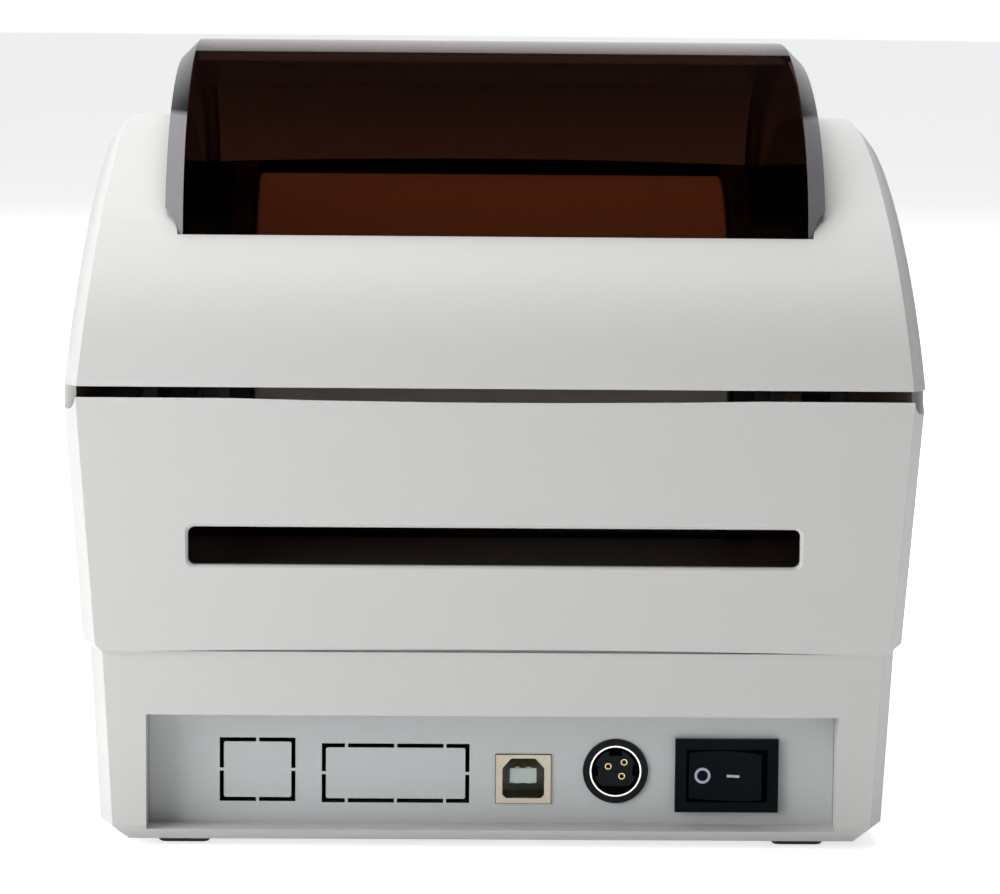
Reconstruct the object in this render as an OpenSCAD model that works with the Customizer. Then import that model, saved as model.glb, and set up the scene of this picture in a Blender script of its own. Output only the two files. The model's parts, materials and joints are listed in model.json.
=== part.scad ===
// Thermal label printer with a clamshell lid, a fan-fold slot at the rear and a recessed connector panel.
// Millimetres, +Z up, label exit at -Y, connectors at +Y, origin under the feet at the centre.
// Stations along the depth are distances d forward from the rear face, heights h are above the base's bottom.

/* [Body] */
// Half width of the middle shell at its top edge
body_hw = 92.4; // [88:0.1:100]
// How much narrower the middle shell is at its lower edge, on each side
mid_taper = 4.15; // [2:0.05:5]
// How much the base tray steps in under the middle shell, on each side
base_step = 1.45; // [1:0.05:1.8]
// How much narrower the base tray is above its bottom chamfer, on each side
base_taper = 2.1; // [1:0.1:4]
// Height of the base tray up to its seam
base_h = 41.4; // [38:0.1:46]
// Height of the middle shell
mid_h = 55.9; // [54:0.1:62]
// Chamfer round the bottom of the base tray
base_chamfer = 3.35; // [1:0.05:4]
// Wall thickness of all the outer shells
wall = 2.4; // [2:0.1:2.7]
// Width of the strip at each upright corner, seen from the rear
corner_x = 3.2; // [1:0.1:5]
// Depth of the strip at each upright corner, seen from the side
corner_y = 8.6; // [3:0.1:12]
// Setback of the base's rear face under the middle shell
rear_step = 2.5; // [1.5:0.1:3]

/* [Rear slot] */
// Width of the fan-fold slot
slot_w = 130.6; // [112:0.2:134]
// Height of the fan-fold slot
slot_h = 8.3; // [6:0.1:10]
// Height of the slot's centre above the base's seam
slot_up = 23.05; // [20:0.05:28]
// Rounding of the slot's corners
slot_r = 1.6; // [1:0.1:3]
// Bevel round the slot's mouth
slot_bevel = 1; // [0.5:0.1:1.4]

/* [Lid] */
// Seam between the middle shell and the lid
lid_gap = 1.2; // [1:0.1:1.6]
// Height of the lid from its lower rim to its crown
lid_h = 53.5; // [50:0.1:60]
// Length of the crown before it falls to the front
crown_run = 4; // [2:1:20]
// Height of the upright part of the lid's front face
lid_front_rise = 14; // [12:0.5:16]
// Setback of the lid's side faces from the middle shell
lid_inset = 0.7; // [0.4:0.1:1.5]
// Setback of the lid's profile edges from its side faces
lid_edge = 2.85; // [1:0.05:4]
// Slope of the lid's side faces
lid_draft = 6.5; // [4:0.1:7]
// Drop of the side faces' edge below the profile edge
lid_chamfer = 4; // [2:0.1:6]

/* [Window] */
// Width of the lid beside the window
window_side = 17.65; // [15:0.05:22]
// Distance of the window's rear edge from the rear face
window_rear = 16.4; // [13:0.1:22]
// Distance of the window's front edge from the front face
window_front_in = 18; // [16:0.5:40]
// Rise of the window's crest above the lid's crown
window_rise = 17; // [12:0.2:20]
// Distance of the crest forward of the roll's axis
window_lead = 6; // [0:1:12]
// Thickness of the window
window_t = 2.2; // [1.8:0.1:2.6]
// Rounding of the window's side edges
window_round = 4; // [2:0.5:5]
// Radius of the scallop at each rear corner of the window
scallop_r = 7.15; // [6:0.05:8]

/* [Connector panel] */
// Width of the base beside the recess
recess_side = 10.4; // [8:0.1:12]
// Height of the recess's ceiling
recess_top = 27.6; // [26:0.1:32]
// Depth of the recess to the panel
recess_d = 12; // [8:0.1:14]
// Thickness of the base's floor, level with the recess's floor
floor_t = 2.4; // [2:0.1:2.8]
// Thickness of the panel
panel_t = 1.6; // [1:0.1:2]
// Sideways place of the network knock-out
net_x = 50.7; // [48:0.1:56]
// Sideways place of the serial knock-out
serial_x = 20.8; // [19:0.1:22]
// Sideways place of the USB socket
usb_x = -6.9; // [-8:0.1:-6]
// Sideways place of the power socket
dc_x = -26.9; // [-28:0.1:-26]
// Sideways place of the switch
switch_x = -51; // [-54:0.1:-49.5]
// Width of the cut line round a knock-out
knock_line = 0.9; // [0.6:0.1:1.2]
// Width of a knock-out's bridge
knock_bridge = 0.65; // [0.4:0.05:1]
// Radius of the power socket's face
dc_r = 7; // [6.5:0.1:7.2]
// Tilt of the rocker from its middle place
rocker_tilt = 8; // [6:0.5:9]

/* [Drive] */
// Radius of the platen's rubber
platen_r = 7; // [6:0.1:8]
// Length of the platen's rubber
platen_l = 112; // [100:1:116]
// Radius of the platen's shaft
shaft_r = 3; // [2.5:0.1:3.4]
// Distance of the platen's axis from the front face
platen_in = 16; // [15:0.1:20]
// Drop of the platen's axis below the middle shell's top edge
platen_drop = 11.3; // [10.8:0.1:12]
// Gear module
gear_m = 1; // [0.98:0.01:1.02]
// Teeth on the motor pinion
motor_teeth = 12; // [12:1:13]
// Teeth on the idler
idler_teeth = 32; // [31:1:33]
// Teeth on the platen gear
platen_teeth = 20; // [19:1:20]
// Face width of the gears
gear_w = 6; // [4:0.5:6]
// Side of the square motor body
motor_side = 35; // [30:0.5:36]
// Length of the motor body
motor_l = 34; // [26:1:38]

/* [Roll bay] */
// Radius of the well's curved floor
well_r = 54; // [50:0.5:60]
// Distance of the well's curve from the rear face
well_in = 37; // [34:0.5:42]
// Half of the widest roll between the guides
roll_half = 54; // [48:1:58]
// How far each guide slides inward
guide_travel = 38; // [20:1:40]
// Radius of a guide's disc
guide_r = 44; // [36:1:46]
// Thickness of a guide's plate
guide_t = 3; // [2.4:0.1:3.6]
// Teeth on the guide pinion
guide_teeth = 16; // [16:1:18]

/* [Feet] */
// How far the feet stand below the base
foot_h = 1.8; // [1:0.1:4]
// Radius of a foot at the base
foot_top_r = 6.5; // [5:0.1:8]
// Radius of a foot at the ground
foot_low_r = 5.2; // [4:0.1:7]
// Distance of the feet from the sides of the base
foot_side = 18.2; // [12:0.1:24]
// Distance of the feet from the front and rear faces
foot_in = 16; // [12:0.5:20]

/* [Hidden] */
$fn = 64;
eps = 0.01;         // thickness of the plates that a hull joins
over = 1;           // how far a cut runs past a face
run_gap = 0.05;     // radial clearance of a shaft in its bore
move_gap = 0.3;     // clearance between pieces that move past each other
seat_gap = 0.1;     // clearance of a piece in its pocket
arc_steps = 14;     // steps along a quarter of a curved outline
pressure = 25;      // pressure angle of all teeth
backlash = 0.12;    // taken off each tooth's half thickness

shell_grey = "#dcdcda";
part_black = "#17191c";
steel = "#b4b6b8";
gear_white = "#e8e4d6";
board_green = "#1f6b3a";
wire_red = "#8c2f2a";

// widths, from the body's
mid_low_hw = body_hw - mid_taper;
base_top_hw = mid_low_hw - base_step;
base_low_hw = base_top_hw - base_taper;
lid_hw = body_hw - lid_inset;
lid_edge_hw = lid_hw - lid_edge;
window_hw = lid_edge_hw - window_side;
recess_hw = base_low_hw - recess_side;
frame_t = 2;
frame_x = body_hw - 21.4;           // inner face of each side frame
gear_x = frame_x + frame_t + 3;     // inner face of the gears
well_t = 2.2;
well_hw = body_hw - 14.4;
boss_x = base_top_hw - 10.3;
foot_x = base_low_hw - foot_side;
hinge_x = body_hw - 24.9;

// teeth and racks
pitch_m = gear_m*motor_teeth/2;
pitch_i = gear_m*idler_teeth/2;
pitch_p = gear_m*platen_teeth/2;
pitch_g = gear_m*guide_teeth/2;
rack_h = 5;
rack_bar = 4;
rack_off = pitch_g + rack_bar/2 + gear_m;   // from the guide pinion's axis to a rack's middle

// stations along the depth, and the depth itself
well_back = 8;                              // rear face to the well's rear wall
roll_d = well_in + well_r;
rack_d = roll_d + well_r + well_t + rack_off + rack_bar/2 + 0.8;
sensor_half = 5;
sensor_d = rack_d + rack_off + rack_bar/2 + sensor_half + 8;
platen_d = sensor_d + sensor_half + platen_r + 7;
depth = platen_d + platen_in;

// heights
mid_top = base_h + mid_h;
slot_z = base_h + slot_up;
lid_low = mid_top + lid_gap;
lid_top = lid_low + lid_h;
platen_z = mid_top - platen_drop;
deck_z = platen_z - 6;
exit_low = platen_z - 3;
roll_z = mid_top - 0.3;
well_rim = mid_top - 3.6;
head_z = platen_z + platen_r + move_gap;
head_pivot_z = head_z + 11.7;
beam_z = head_pivot_z + 15;
board_h = 5.2;                      // underside of the main board
board_t = 1.6;

function yd(d) = depth/2 - d;
function zh(h) = foot_h + h;

roll_y = yd(roll_d);
rack_y = yd(rack_d);
rack_zz = zh(deck_z) - 9.5;
sensor_y = yd(sensor_d);
platen_y = yd(platen_d);
platen_zz = zh(platen_z);
dir_ip = 138.6;                     // direction from the idler to the platen in the Y-Z plane
dir_mi = 126.9;                     // direction from the motor to the idler
idler_y = platen_y - (pitch_i + pitch_p)*cos(dir_ip);
idler_zz = platen_zz - (pitch_i + pitch_p)*sin(dir_ip);
motor_y = idler_y - (pitch_m + pitch_i)*cos(dir_mi);
motor_zz = idler_zz - (pitch_m + pitch_i)*sin(dir_mi);

// An outline in the depth-height plane, carried along X
module along_x(x0, x1) {
    translate([x0, 0, 0]) rotate([90, 0, 90]) linear_extrude(x1 - x0) children();
}
// An outline in the width-height plane, carried along Y
module along_y(y0, y1) {
    translate([0, y1, 0]) rotate([90, 0, 0]) linear_extrude(y1 - y0) children();
}
module rod_x(x0, x1, y, z, r) { translate([x0, y, z]) rotate([0, 90, 0]) cylinder(r=r, h=x1 - x0); }
module rod_y(y0, y1, x, z, r) { translate([x, y1, z]) rotate([90, 0, 0]) cylinder(r=r, h=y1 - y0); }
module block(x0, x1, y0, y1, z0, z1) { translate([x0, y0, z0]) cube([x1 - x0, y1 - y0, z1 - z0]); }

// A plan outline with a strip across each corner
module plan(hw, front, rear) {
    polygon([[-hw, front + corner_y], [-hw + corner_x, front], [hw - corner_x, front], [hw, front + corner_y],
        [hw, rear - corner_y], [hw - corner_x, rear], [-hw + corner_x, rear], [-hw, rear - corner_y]]);
}
module plan_at(z, hw, inset, cut) {
    translate([0, 0, z]) linear_extrude(eps)
        plan(hw - cut, -depth/2 + inset + cut, depth/2 - inset - cut);
}

// ---- base tray ----
module base_body(cut, low) {
    hull() {
        plan_at(zh(base_h) - eps + (cut > 0 ? over : 0), base_top_hw, rear_step, cut);
        plan_at(zh(base_chamfer + low), base_low_hw, rear_step + 0.6, cut);
        plan_at(zh(low), base_low_hw - base_chamfer, rear_step + base_chamfer, cut);
    }
}
boss_in = 30;
boss_r = 3.2;
boss_bore = 1.6;
boss_ys = [-depth/2 + boss_in, depth/2 - boss_in];
screw_head_r = 3;
screw_head_h = 1.8;
foot_seat = 0.8;
foot_ys = [-depth/2 + foot_in, depth/2 - foot_in];
lip_h = 1.5;        // rim that centres the middle shell
lip_t = 1;
rib_t = 2;          // ribs between the middle shell's posts and its side walls
vent_w = 2.4;
vent_l = 30;
vent_pitch = 6;
module base_tray() {
    color(shell_grey) difference() {
        union() {
            difference() { base_body(0, 0); base_body(wall, floor_t); }
            intersection() {
                base_body(0, 0);
                block(-recess_hw - wall, recess_hw + wall, yd(recess_d + panel_t), depth/2,
                    zh(0), zh(recess_top + wall));
            }
            for (x = [-boss_x, boss_x], y = boss_ys)
                translate([x, y, zh(floor_t) - eps]) cylinder(r=boss_r, h=base_h - floor_t);
            for (p = board_posts) translate([p[0], p[1], zh(floor_t) - eps])
                cylinder(r=3, h=board_h - floor_t + eps);
            base_lip();
        }
        block(-recess_hw, recess_hw, yd(recess_d + panel_t + over), depth/2 + over, zh(floor_t), zh(recess_top));
        for (x = [-boss_x, boss_x], y = boss_ys) {
            translate([x, y, zh(-over)]) cylinder(r=boss_bore, h=base_h + 2*over);
            translate([x, y, zh(-over)]) cylinder(r=screw_head_r + seat_gap, h=over + screw_head_h);
        }
        for (p = board_posts) translate([p[0], p[1], zh(floor_t)]) cylinder(r=1.2, h=board_h);
        for (x = [-foot_x, foot_x], y = foot_ys)
            translate([x, y, zh(-over)]) cylinder(r=foot_top_r, h=over + foot_seat);
        // vents under the board
        for (i = [-2:2]) block(board_mid_x + i*vent_pitch - vent_w/2, board_mid_x + i*vent_pitch + vent_w/2,
            board_mid_y - vent_l/2, board_mid_y + vent_l/2, zh(-over), zh(floor_t + over));
    }
}
module base_lip() {
    inner = base_top_hw - wall;
    edge = depth/2 - rear_step - wall;
    translate([0, 0, zh(base_h) - eps]) linear_extrude(lip_h + eps) difference() {
        plan(inner + lip_t, -edge - lip_t, edge + lip_t);
        plan(inner, -edge, edge);
        // notches for the ribs of the middle shell's posts
        for (y = boss_ys) translate([-body_hw, y - rib_t/2 - move_gap]) square([2*body_hw, rib_t + 2*move_gap]);
    }
}

// ---- middle shell ----
// A shallow bow across the width: rise s at the middle, none at half width w
function bow(w, s, z) = [for (i = [-arc_steps:arc_steps]) let(u = i/arc_steps) [u*w, z + s*(1 - u*u)]];

mid_foot = 1.5;     // height and width of the chamfer under the middle shell
mid_in = 0.8;       // lean of its front and rear faces
module mid_body(cut) {
    hull() {
        plan_at(zh(mid_top) - eps + (cut > 0 ? over : 0), body_hw, 0, cut);
        plan_at(zh(base_h + mid_foot) - (cut > 0 ? mid_foot + over : 0), mid_low_hw, mid_in, cut);
        if (cut == 0) plan_at(zh(base_h), mid_low_hw - mid_foot, mid_in, cut);
    }
}
module slot_prism(grow, y0, y1) {
    translate([0, 0, zh(slot_z)]) along_y(y0, y1) {
        square([slot_w + 2*grow - 2*slot_r, slot_h + 2*grow], center=true);
        square([slot_w + 2*grow, slot_h + 2*grow - 2*slot_r], center=true);
        for (x = [-1, 1], z = [-1, 1])
            translate([x*(slot_w/2 + grow - slot_r), z*(slot_h/2 + grow - slot_r)]) circle(r=slot_r);
    }
}
dip = 1.8;          // how far the rear rim dips at its middle
arch = 1;           // how far the lower rear edge rises at its middle
post_h = 9;
exit_hw = platen_l/2 + 7;
module mid_shell() {
    color(shell_grey) difference() {
        mid_body(0);
        mid_body(wall);
        slot_prism(0, depth/2 - 2*wall - over, depth/2 + over);
        hull() {
            slot_prism(slot_bevel, depth/2 - eps, depth/2 + over);
            slot_prism(0, depth/2 - slot_bevel, depth/2 - slot_bevel + eps);
        }
        // rear rim's dip and the lower edge's arch
        along_y(depth/2 - 2*wall, depth/2 + over) {
            polygon(concat([[-body_hw, zh(mid_top + over)]], bow(body_hw, -dip, zh(mid_top)),
                [[body_hw, zh(mid_top + over)]]));
            polygon(concat([[-mid_low_hw, zh(base_h - over)]], bow(mid_low_hw, arch, zh(base_h)),
                [[mid_low_hw, zh(base_h - over)]]));
        }
        // room for the lid's rim as it turns about its hinge
        rod_x(-body_hw - over, body_hw + over, yd(hinge_d), zh(hinge_z), hinge_sweep);
        // label exit
        block(-exit_hw, exit_hw, -depth/2 - over, -depth/2 + wall + over, zh(exit_low), zh(mid_top + over));
    }
    // posts that the housing screws bite into, each tied to the side wall
    color(shell_grey) for (s = [-1, 1], y = boss_ys) difference() {
        union() {
            translate([s*boss_x, y, zh(base_h)]) cylinder(r=boss_r, h=post_h);
            block(s > 0 ? boss_x : -mid_low_hw + wall/2, s > 0 ? mid_low_hw - wall/2 : -boss_x, y - rib_t/2,
                y + rib_t/2, zh(base_h), zh(base_h + post_h));
        }
        translate([s*boss_x, y, zh(base_h - over)]) cylinder(r=boss_bore, h=post_h);
    }
}

// ---- lid and window ----
rise_low = 1.8;                     // upright part of the lid's rear face
front_in = 1;                       // setback of the lid's front face
lid_rear_run = roll_d - 1;          // rear face to the start of the crown
crown_end = lid_rear_run + crown_run;
front_run = depth - front_in - crown_end;
// The lid's side profile, shrunk by cut
function lid_arc(cd, ch, a, b, from, to) =
    [for (i = [0:arc_steps]) let(t = from + (to - from)*i/arc_steps) [yd(cd - a*cos(t)), ch + b*sin(t)]];
// Height of a quarter ellipse that rises from foot to top, at a share u of its run
function quarter(foot, top, u) = foot + (top - foot)*sqrt(1 - u*u);
module lid_profile(cut, low) {
    polygon(concat([[yd(cut), low]],
        lid_arc(lid_rear_run, lid_low + rise_low, lid_rear_run - cut, lid_top - lid_low - rise_low - cut, 0, 90),
        lid_arc(crown_end, lid_low + lid_front_rise, front_run - cut,
            lid_top - lid_low - lid_front_rise - cut, 90, 180),
        [[yd(crown_end + front_run - cut), low]]));
}
module lid_body(cut, low) {
    hull() for (s = [-1, 1]) {
        lid_plate(s, lid_edge_hw - cut, cut, low);
        lid_plate(s, lid_hw - cut, cut + lid_chamfer, low);
    }
}
module lid_plate(s, hw, cut, low) {
    translate([s*hw, 0, zh(lid_low)]) rotate([0, -s*lid_draft, 0])
        translate([-eps/2, 0, -lid_low]) along_x(0, eps) lid_profile(cut, low);
}

window_top = lid_top + window_rise;
window_crest = roll_d + window_lead;
window_front = depth - window_front_in;
window_foot = quarter(lid_low + rise_low, lid_top, (lid_rear_run - window_rear)/lid_rear_run);
window_lip = quarter(lid_low + lid_front_rise, lid_top, (window_front - crown_end)/front_run);
window_skirt = 3;   // how far the window reaches into the lid
scallop_x = window_hw + 4.2;
scallop_z = zh(window_foot - 0.7);
scallop_run = 40;   // rear face to the front end of the scallops
function bulge(cut) = concat(
    lid_arc(window_crest, window_foot, window_crest - window_rear - cut, window_top - window_foot - cut, 0, 90),
    lid_arc(window_crest, window_lip, window_front - window_crest - cut, window_top - window_lip - cut, 90, 180));
function window_outline(cut) = let(low = window_skirt + (cut > 0 ? over : 0)) concat(
    [[yd(window_rear + cut), window_foot - low]], bulge(cut), [[yd(window_front - cut), window_lip - low]]);
module window_form(cut) {
    translate([0, 0, zh(0)]) hull() {
        along_x(-window_hw + window_round, window_hw - window_round) polygon(window_outline(cut));
        along_x(-window_hw + cut, window_hw - cut) polygon(window_outline(cut + window_round));
    }
}
module scallops(gap) {
    for (s = [-1, 1]) rod_y(yd(scallop_run) + gap, depth/2 + over, s*scallop_x, scallop_z, scallop_r - gap);
}
module lid_shell() {
    color(shell_grey) difference() {
        lid_body(0, lid_low);
        lid_body(wall, lid_low - over);
        // opening that the window's skirt fills, its rear corners kept for the scallops
        difference() {
            block(-window_hw - seat_gap, window_hw + seat_gap, yd(window_front + seat_gap),
                yd(window_rear - seat_gap), zh(window_foot - window_skirt - seat_gap), zh(lid_top + over));
            scallops(seat_gap);
        }
        // side openings for the latch buttons
        for (s = [-1, 1]) mirror([s > 0 ? 0 : 1, 0, 0]) block(lid_hw - latch_deep, lid_hw + over,
            latch_y - latch_w/2 - move_gap, latch_y + latch_w/2 + move_gap, latch_z0 - move_gap, latch_z1 + move_gap);
        // bores of the feed button and of its lamp
        button_place() translate([0, 0, -2*wall]) cylinder(r=button_r + move_gap, h=4*wall);
        button_place() translate([-pipe_x, 0, -2*wall]) cylinder(r=pipe_r + seat_gap, h=4*wall);
    }
}
module lid_window() {
    color("#3a1a0c", 0.8) difference() { window_form(0); window_form(window_t); scallops(0); }
}

// ---- feed button ----
button_x = 62;
button_d = depth - 10;
button_r = 6;
button_u = (button_d - crown_end)/front_run;
button_h = quarter(lid_low + lid_front_rise, lid_top, button_u);
// the button stands square to the lid's curve
button_lean = atan((lid_top - lid_low - lid_front_rise)*button_u/(front_run*sqrt(1 - button_u*button_u)));
button_travel = 1.2;
button_low = 4;     // the button's depth below the lid's face
flange_t = 1;
stem_r = 2;
pipe_x = 14;
pipe_r = 1.5;
lamp_board_z = -12.4;
lamp_board_t = 1.6;
module button_place() {
    translate([button_x, yd(button_d), zh(button_h)]) rotate([button_lean, 0, 0]) children();
}
module feed_button() {
    color("#c9ccd0") button_place() {
        translate([0, 0, -button_low]) cylinder(r=button_r, h=button_low + 1);
        // flange that holds the button in, and the stem that meets the switch
        translate([0, 0, -button_low - flange_t]) cylinder(r=button_r + 1.2, h=flange_t + eps);
        translate([0, 0, -2*button_low]) cylinder(r=stem_r, h=button_low);
    }
}
module feed_board() {
    color(board_green) {
        button_place() {
            translate([-19, -8, lamp_board_z - lamp_board_t]) cube([28, 16, lamp_board_t]);
            // switch under the button's stem
            translate([-2.5, -2.5, lamp_board_z - eps])
                cube([5, 5, -2*button_low - button_travel - 0.2 - lamp_board_z]);
        }
        // pegs from the lid's inner face to the board
        intersection() {
            lid_body(wall + eps, lid_low);
            button_place() for (x = [-17, 7]) translate([x, -6, lamp_board_z - eps]) cylinder(r=1.5, h=-lamp_board_z);
        }
    }
}
module light_pipe() {
    color("#cfe8cf") button_place() translate([-pipe_x, 0, lamp_board_z]) cylinder(r=pipe_r, h=-lamp_board_z);
}

// ---- connector panel ----
module cut_line(x, z, w, h, top_bridges, side_bridges) {
    translate([x, z]) difference() {
        square([w, h], center=true);
        offset(r=knock_line/2) square([w - 3*knock_line, h - 3*knock_line], center=true);
        for (i = [0:top_bridges - 1]) translate([w*((i + 0.5)/top_bridges - 0.5), 0])
            square([knock_bridge, 2*h], center=true);
        for (i = [0:side_bridges - 1]) translate([0, h*((i + 0.5)/side_bridges - 0.5)])
            square([2*w, knock_bridge], center=true);
    }
}
net_w = 16.4;
net_h = 14;
net_z = 14;
serial_w = 32;
serial_h = 13;
serial_z = 13.3;
panel_back = yd(recess_d + panel_t);
panel_face = yd(recess_d);
usb_w = 12;
usb_h = 10.8;
usb_z = board_h + board_t + usb_h/2;
switch_w = 19;
switch_h = 12.9;
switch_z = 13.3;
dc_z = board_h + board_t + dc_r + 0.2;
module io_panel() {
    color("#aeb0b4") difference() {
        block(-recess_hw + seat_gap, recess_hw - seat_gap, panel_back, panel_face, zh(floor_t), zh(recess_top));
        along_y(panel_back - over, panel_face + over) {
            cut_line(net_x, zh(net_z), net_w, net_h, 1, 1);
            cut_line(serial_x, zh(serial_z), serial_w, serial_h, 3, 1);
            translate([usb_x, zh(usb_z)]) square([usb_w + 2*seat_gap, usb_h + 2*seat_gap], center=true);
            translate([switch_x, zh(switch_z)])
                square([switch_w + 2*seat_gap, switch_h + 2*seat_gap], center=true);
        }
        rod_y(panel_back - over, panel_face + over, dc_x, zh(dc_z), dc_r + seat_gap);
    }
}

// USB socket: the opening's top corners are cut off, as on the plug
usb_deep = 16;
usb_out = 0.5;      // how far the socket stands out of the panel
usb_t = 0.5;
usb_face_t = 0.8;
usb_mouth_w = 9;
usb_mouth_h = 8.6;
usb_key_w = 1.9;
usb_key_h = 2.15;
usb_foot = 0.7;     // cut-off at the opening's bottom corners
tongue_w = 5.9;
tongue_h = 3.3;
module usb_mouth() {
    w = usb_mouth_w/2;
    h = usb_mouth_h/2;
    polygon([[-w + usb_foot, -h], [w - usb_foot, -h], [w, -h + usb_foot], [w, h - usb_key_h],
        [w - usb_key_w, h], [-w + usb_key_w, h], [-w, h - usb_key_h], [-w, -h + usb_foot]]);
}
module usb_shell() {
    color(steel) translate([usb_x, 0, zh(usb_z)]) difference() {
        along_y(yd(recess_d + usb_deep), panel_face + usb_out) square([usb_w, usb_h], center=true);
        along_y(yd(recess_d + usb_deep - over), panel_face + usb_out - usb_face_t)
            square([usb_w - 2*usb_t, usb_h - 2*usb_t], center=true);
        along_y(yd(recess_d + usb_deep/2), panel_face + over) translate([0, 0.2]) usb_mouth();
    }
}
module usb_insert() {
    color("#d5d8d6") translate([usb_x, 0, zh(usb_z)]) {
        along_y(yd(recess_d + usb_deep - over), yd(recess_d + usb_deep - 4))
            square([usb_w - 2*usb_t, usb_h - 2*usb_t], center=true);
        along_y(yd(recess_d + usb_deep - 4 + eps), yd(recess_d + 1)) translate([0, 0.5])
            square([tongue_w, tongue_h], center=true);
    }
}

// Power socket: a metal ring in a groove round a notched core with three pin holes
dc_back = 16;
dc_deep = 9;
dc_ring_r = 5.65;
dc_ring_t = 0.4;
dc_core_r = 4.5;
dc_chord = 3.4;     // flat at the core's bottom, below its centre
pin_r = 0.75;
dc_pins = [[1.55, 0.84], [-1.9, 1.76], [-1.4, -1.3]];
module dc_core() {
    difference() {
        intersection() {
            circle(r=dc_core_r);
            translate([-dc_core_r, -dc_chord]) square([2*dc_core_r, dc_chord + dc_core_r]);
        }
        translate([0, dc_core_r]) square([2.8, 2.6], center=true);
        for (s = [-1, 1]) translate([s*dc_core_r, 0]) square([1.6, 2.4], center=true);
        for (p = dc_pins) translate(p) circle(r=pin_r);
    }
}
module dc_socket_body() {
    color(part_black) difference() {
        union() {
            rod_y(yd(recess_d + 3), panel_face + 0.6, dc_x, zh(dc_z), dc_r);
            block(dc_x - dc_r, dc_x + dc_r, yd(recess_d + dc_back), panel_back - seat_gap,
                zh(board_h + board_t), zh(dc_z + dc_r));
        }
        translate([dc_x, 0, zh(dc_z)]) along_y(yd(recess_d + dc_deep), panel_face + over) difference() {
            circle(r=dc_ring_r);
            dc_core();
        }
        rod_y(yd(recess_d + 0.6), panel_face + over, dc_x, zh(dc_z), dc_ring_r);
    }
}
module dc_socket_ring() {
    color(steel) translate([dc_x, 0, zh(dc_z)]) along_y(yd(recess_d + dc_deep), panel_face + 0.3) difference() {
        circle(r=dc_ring_r);
        circle(r=dc_ring_r - dc_ring_t);
    }
}

// Rocker switch
bezel_w = 22.4;
bezel_h = 16;
bezel_t = 1.6;
rocker_w = 16.6;
rocker_h = 11;
rocker_bow = 0.5;   // how far the rocker's long edges bow out
rocker_deep = 5;
trunnion_r = 0.8;
switch_back = 20;
module switch_housing() {
    color(part_black) translate([switch_x, 0, zh(switch_z)]) difference() {
        union() {
            along_y(panel_face, panel_face + bezel_t) square([bezel_w, bezel_h], center=true);
            along_y(yd(recess_d + switch_back), panel_face + eps) square([switch_w, switch_h], center=true);
        }
        along_y(yd(recess_d + 8), panel_face + bezel_t + over)
            square([rocker_w + 1, rocker_h + 2*move_gap], center=true);
        translate([0, yd(recess_d + 1), -switch_h/2 - over])
            cylinder(r=trunnion_r + run_gap, h=switch_h + 2*over);
    }
}
// The rocker rests with its off side, toward +X, pressed in
module rocker() {
    w = rocker_w/2 - 0.4;
    face = rocker_h/2 - rocker_bow;
    color(part_black) translate([switch_x, yd(recess_d + 1), zh(switch_z)]) rotate([0, 0, -rocker_tilt]) {
        intersection() {
            translate([0, 0, -rocker_h/2]) linear_extrude(rocker_h)
                polygon([[-w, -1], [-1, -rocker_deep + 1], [1, -rocker_deep + 1], [w, -1], [w, 3.2], [0, 2.2],
                    [-w, 3.2]]);
            along_y(-rocker_deep, rocker_deep) polygon(concat(bow(w, rocker_bow, face),
                [for (p = bow(-w, -rocker_bow, -face)) p]));
        }
        translate([0, 0, -switch_h/2 + 0.2]) cylinder(r=trunnion_r, h=switch_h - 0.4);
    }
}

// ---- electronics ----
board_top = zh(board_h + board_t);
board_x0 = -38;
board_x1 = body_hw - 20.4;
board_d0 = recess_d + panel_t + 0.4;
board_d1 = board_d0 + 96;
board_mid_x = (board_x0 + board_x1)/2;
board_mid_y = yd((board_d0 + board_d1)/2);
board_posts = [for (x = [board_x0 + 6, board_x1 - 6], d = [board_d0 + 24, board_d1 - 6]) [x, yd(d)]];
module main_board() {
    color(board_green) difference() {
        block(board_x0, board_x1, yd(board_d1), yd(board_d0), zh(board_h), zh(board_h + board_t));
        for (p = board_posts) translate([p[0], p[1], zh(board_h - over)]) cylinder(r=1.6, h=board_t + 2*over);
    }
}
// what stands on the board: place along X, distance from its rear edge, sizes
chips = [[8, 46, 14], [34, 56, 9], [52, 34, 6], [-14, 66, 7]];
capacitors = [[-22, 36, 5, 14], [-22, 50, 5, 14], [-8, 42, 3.2, 9], [60, 48, 4, 10]];
headers = [[0, 90, 14], [30, 90, 24], [-24, 88, 8]];
header_w = 6;
header_h = 7;
module board_chips() {
    color(part_black) for (c = chips)
        translate([c[0] - c[2]/2, yd(board_d0 + c[1]) - c[2]/2, board_top]) cube([c[2], c[2], 1.4]);
}
module board_capacitors() {
    color("#2a3a5c") for (c = capacitors)
        translate([c[0], yd(board_d0 + c[1]), board_top]) cylinder(r=c[2], h=c[3]);
}
module board_headers() {
    color(gear_white) for (c = headers)
        translate([c[0] - c[2]/2, yd(board_d0 + c[1]) - header_w/2, board_top]) cube([c[2], header_w, header_h]);
}
module board_screws() {
    color(steel) for (p = board_posts) {
        translate([p[0], p[1], board_top]) cylinder(r=2.6, h=1.6);
        translate([p[0], p[1], zh(floor_t + 0.4)]) cylinder(r=1.15, h=board_h + board_t - floor_t - 0.4 + eps);
    }
}
module housing_screws() {
    color(steel) for (x = [-boss_x, boss_x], y = boss_ys) {
        translate([x, y, zh(0.2)]) cylinder(r=screw_head_r, h=screw_head_h - 0.2);
        translate([x, y, zh(screw_head_h) - eps])
            cylinder(r=boss_bore - run_gap, h=base_h + post_h - screw_head_h - 3);
    }
}
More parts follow.
